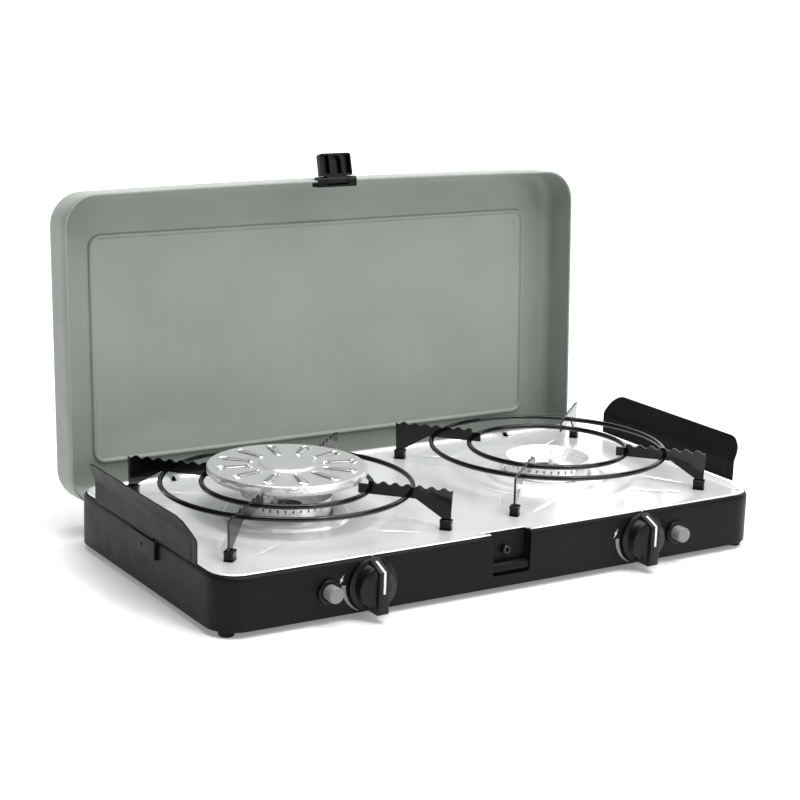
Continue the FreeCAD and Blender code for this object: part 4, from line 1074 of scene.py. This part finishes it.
def buttonPiece(name):
    at = buttonAt[name]
    low, high = boxOf("igniter_button_" + name)
    r = (high.x - low.x) / 2
    tip = low.y
    end = tip + button["depth"]
    profile = [(0, tip + 0.25), (r * 0.55, tip + 0.12), (r - 1.3, tip), (r - 0.5, tip + 0.3),
               (r, tip + 1.1), (r, end), (button["stem"], end + 0.1), (button["stem"], high.y), (0, high.y)]
    return turnedPiece("igniterButton_" + name, "buttonGrey", profile, Vector((at.x, 0, at.z)),
                       button["steps"])


def collarPiece(name):
    at = buttonAt[name]
    back, low = frontFace(at.x), boxOf("igniter_collars")[0].y
    outer, inner = button["collarOuter"], button["collarInner"]
    profile = [(inner, back), (outer, back), (outer, low + 0.9), (outer - 0.7, low + 0.15),
               (outer - 1.4, low), (inner + 1.2, low), (inner + 0.5, low + 0.3), (inner, low + 1.1)]
    return turnedPiece("igniterCollar_" + name, "knobBlack", profile, Vector((at.x, 0, at.z)),
                       button["steps"])


for name in sides:
    attach(knobPiece(name), "knob_" + name, "knob_black", "knob_" + name)
    attach(pointerPiece(name), "knob_" + name, "pointer_white", "knob_pointer_" + name)
    for mark in dialMarks(name):
        attach(mark, "casing", "pointer_white")
    attach(buttonPiece(name), "igniter_button_" + name, "button_grey", "igniter_button_" + name)
collars = [collarPiece(name) for name in sides]
attach(collars[0], "casing", "knob_black", "igniter_collars")
attach(collars[1], "casing", "knob_black", "igniter_collars")
print("knobs and buttons made")


# Lid, drawn shut and swung open about its hinge
hinge = joints["lid_hinge"]
lid = {
    "halfX": boxOf("lid_shell")[1].x, "length": 305.4, "bow": 2.4, "rim": 57.6, "depth": 46.5,
    "corner": 33.0, "fillet": 13.0, "wall": 1.0, "hem": 3.0, "hemWidth": 2.2,
    "grooveX": 259.1, "grooveShift": 4.6, "grooveFront": -106.6, "grooveRear": 119.4,
    "grooveCorner": 11.0, "grooveHalf": 3.0, "grooveDeep": 2.6, "catchHalf": 23.2, "catchHigh": 12.0,
    "grooveSteps": (-1, -0.9, -0.75, -0.5, -0.25, 0, 0.25, 0.5, 0.75, 0.9, 1),
}
swingAngle = math.radians(-hinge["range_deg"][0])
pivot = Vector(hinge["pos_m"])
swing = (Matrix.Translation(pivot) @ Matrix.Rotation(swingAngle, 4, Vector(hinge["axis"]))
         @ Matrix.Translation(-pivot))


def lidLoop(inset, height):
    d = lid
    outline = roundedOutline(d["halfX"] - inset, -d["length"] / 2 + inset, d["length"] / 2 - inset,
                             d["corner"] - inset, 12)
    return [(x, y, height) for x, y in bowed(outline, d["bow"], d["halfX"] - d["corner"])]


def grooveLoop(grow, height):
    d = lid
    outline = roundedOutline(d["grooveX"] + grow, d["grooveFront"] - grow, d["grooveRear"] + grow,
                             d["grooveCorner"] + grow, 12)
    return [(x + d["grooveShift"], y, height) for x, y in outline]


def lidSkin(wall):
    # One face of the sheet, from the middle of the panel out to the rim.
    d = lid
    top = d["rim"] + d["depth"] - wall
    r = d["fillet"] - wall
    loops = []
    for part in d["grooveSteps"]:
        sink = d["grooveDeep"] * smoothStep(1 - abs(part), 0, 0.75)
        loops.append(grooveLoop(part * d["grooveHalf"], top - sink))
    loops.append(lidLoop(wall + r + 8, top))
    loops += [lidLoop(wall + r * over, top - r * under) for over, under in quarterTurn(10)[::-1]]
    return loops


def lidPiece():
    d = lid
    rim = d["rim"]
    hem = [(0, rim + 12), (0, rim + 1.0), (0.3, rim + 0.3), (1.0, rim), (1.8, rim + 0.3),
           (d["hemWidth"], rim + 1.0), (d["hemWidth"], rim + d["hem"] - 0.4),
           (1.8, rim + d["hem"]), (d["wall"], rim + d["hem"] + 0.5), (d["wall"], rim + 12)]
    outside = lidSkin(0.0)
    inside = lidSkin(d["wall"])
    loops = outside + [lidLoop(inset, height) for inset, height in hem] + inside[::-1]
    piece = loftedPiece("lidShell", "lidGreen", loops, 50)
    cut = bmesh.new()
    front = -d["length"] / 2 - d["bow"]
    blockOf(cut, (-d["catchHalf"], front - 5, rim - 2),
            (d["catchHalf"], front + 8, rim + d["catchHigh"]))
    carve(piece, pieceFrom("catchCutter", cut, "lidGreen"))
    shadeByAngle(piece.data, 50)
    piece.data.transform(swing)
    return piece


attach(lidPiece(), "lid", "lid_green", "lid_shell")
refine("hinge_arms", "hingeArms", "lid", "zinc_steel", "zincSteel", 30, 0.3)
refine("catch_mount", "catchMount", "lid", "catch_black", "catchBlack", 30, 0.3)
refine("catch_lever", "catchLever", "lid_catch", "catch_black", "catchBlack", 30, 0.35)
print("lid made")


# Small parts
footLow, footHigh = boxOf("rubber_feet")
foot = {"inset": 7.6, "bore": 2.0, "pocket": 4.4, "pocketDeep": 3.0, "tall": footHigh.z - footLow.z}


def footPiece():
    f = foot
    profile = [(f["bore"], f["pocketDeep"]), (f["pocket"], f["pocketDeep"]), (f["pocket"], 0.3),
               (f["pocket"] + 0.3, 0.0), (6.2, 0.0), (6.8, 0.5), (7.1, 1.6), (7.5, f["tall"] - 0.6),
               (7.6, f["tall"]), (f["bore"], f["tall"])]
    return turnedPiece("foot", "rubberBlack", profile, Vector((0, 0, 0)), 40, "z")


footPlaces = [(x, y, 0) for x in (footLow.x + foot["inset"], footHigh.x - foot["inset"])
              for y in (footLow.y + foot["inset"], footHigh.y - foot["inset"])]
feet = repeatAt("rubberFeet", footPiece(), footPlaces, "rubberBlack")
attach(feet, "casing", "rubber_black", "rubber_feet")
refine("catch_screw", "catchScrew", "casing", "screw_black", "screwBlack", 30, 0.2)

plainNodes = {
    "base_plate": "casingBlack", "foot_screws": "screwBlack", "gas_rail": "zincSteel",
    "gas_inlet_nipple": "brass", "hinge_brackets": "zincSteel", "hinge_bracket_rivets": "screwBlack",
    "hinge_pins": "zincSteel", "guard_bracket_rivets": "casingBlack", "gas_jets": "brass",
    "hinge_arm_rivets": "screwBlack", "catch_pin": "zincSteel",
}
for name in sides:
    plainNodes.update({
        "burner_cup_" + name: "burnerAlloy", "ignition_lead_" + name: "leadRed",
        "gas_tap_" + name: "brass", "mixing_tube_" + name: "burnerAlloy",
        "igniter_body_" + name: "knobBlack", "tap_stem_" + name: "brass",
    })
for node, finish in plainNodes.items():
    mesh = frame["nodes"][node].data
    mesh.materials.clear()
    mesh.materials.append(finishes[finish])
print("small parts finished")


# Studio
studio = {
    "reach": 9.0, "wallAt": 5.0, "wallHigh": 6.0, "curve": 2.0, "paint": 0.90,
    "nearGlow": 0.22, "farGlow": 0.95, "nearAt": 1.0, "farAt": 3.2, "lean": -32, "world": 0.16,
}


def studioFinish():
    finish = bpy.data.materials.new("studioWhite")
    finish.use_nodes = True
    nodes, links = finish.node_tree.nodes, finish.node_tree.links
    shader = nodes["Principled BSDF"]
    setInputs(shader, {"Base Color": [studio["paint"]] * 3 + [1], "Roughness": 0.9,
                       "Specular IOR Level": 0.0, "Emission Color": (1, 1, 1, 1)})
    # Far from the stove, where the lamps are weak, the backdrop lights itself.
    place = nodes.new("ShaderNodeTexCoord")
    away = nodes.new("ShaderNodeVectorMath")
    away.operation = "LENGTH"
    glow = nodes.new("ShaderNodeMapRange")
    setInputs(glow, {"From Min": studio["nearAt"], "From Max": studio["farAt"],
                     "To Min": studio["nearGlow"], "To Max": studio["farGlow"]})
    links.new(place.outputs["Object"], away.inputs[0])
    links.new(away.outputs["Value"], glow.inputs["Value"])
    links.new(glow.outputs["Result"], shader.inputs["Emission Strength"])
    return finish


def backdrop():
    s = studio
    path = [(-s["reach"], 0.0)]
    path += [(s["wallAt"] - s["curve"] * short, s["curve"] * up) for up, short in quarterTurn(12)]
    path.append((s["wallAt"], s["wallHigh"]))
    lean = Matrix.Rotation(math.radians(s["lean"]), 4, "Z")
    points = [lean @ Vector((x, y, z)) for x in (-s["reach"], s["reach"]) for y, z in path]
    mesh = bpy.data.meshes.new("backdrop")
    mesh.from_pydata(points, [], [f[::-1] for f in loftFaces(2, len(path), around=False)])
    mesh.materials.append(studioFinish())
    mesh.shade_smooth()
    return addObject("backdrop", mesh)


backdrop()

lights = {
    "softTop": dict(at=(0.25, -0.25, 2.2), size=2.2, power=70, aim=(0, 0, 0)),
    "softFront": dict(at=(1.2, -2.6, 1.6), size=2.0, power=26, aim=(0, 0, 0.1)),
    "glint": dict(at=(0.2, -1.6, 2.2), size=0.35, power=10, aim=(0, 0, 0.1)),
}
for name, light in lights.items():
    lamp = bpy.data.lights.new(name, "AREA")
    lamp.shape = "SQUARE"
    lamp.size = light["size"]
    lamp.energy = light["power"]
    holder = addObject(name, lamp)
    holder.location = light["at"]
    aim = Vector(light["aim"]) - holder.location
    holder.rotation_euler = aim.to_track_quat("-Z", "Y").to_euler()

world = bpy.data.worlds.new("studio")
world.use_nodes = True
setInputs(world.node_tree.nodes["Background"], {"Color": (1, 1, 1, 1), "Strength": studio["world"]})
bpy.context.scene.world = world
bpy.context.scene.view_settings.view_transform = "Standard"

# Camera
camera = {
    "at": Vector((-1.02957, -1.573567, 0.608443)), "yaw": 32.451, "pitch": 13.8072,
    "roll": 1.9017, "lens": 89.81,
}
yaw, pitch, roll = (math.radians(camera[key]) for key in ("yaw", "pitch", "roll"))
ahead = Vector((math.sin(yaw) * math.cos(pitch), math.cos(yaw) * math.cos(pitch), -math.sin(pitch)))
right = Vector((math.cos(yaw), -math.sin(yaw), 0))
upward = right.cross(ahead)
tiltedRight = right * math.cos(roll) + upward * math.sin(roll)
tiltedUp = upward * math.cos(roll) - right * math.sin(roll)
turn = Matrix((tiltedRight, tiltedUp, -ahead)).transposed().to_4x4()
eye = bpy.data.cameras.new("camera")
eye.lens = camera["lens"]
eye.sensor_width = 36.0
eye.clip_start = 0.05
eye.clip_end = 60
eye.dof.use_dof = False
cameraHolder = addObject("camera", eye)
cameraHolder.matrix_world = Matrix.Translation(camera["at"]) @ turn
bpy.context.scene.camera = cameraHolder
print("studio and camera ready")
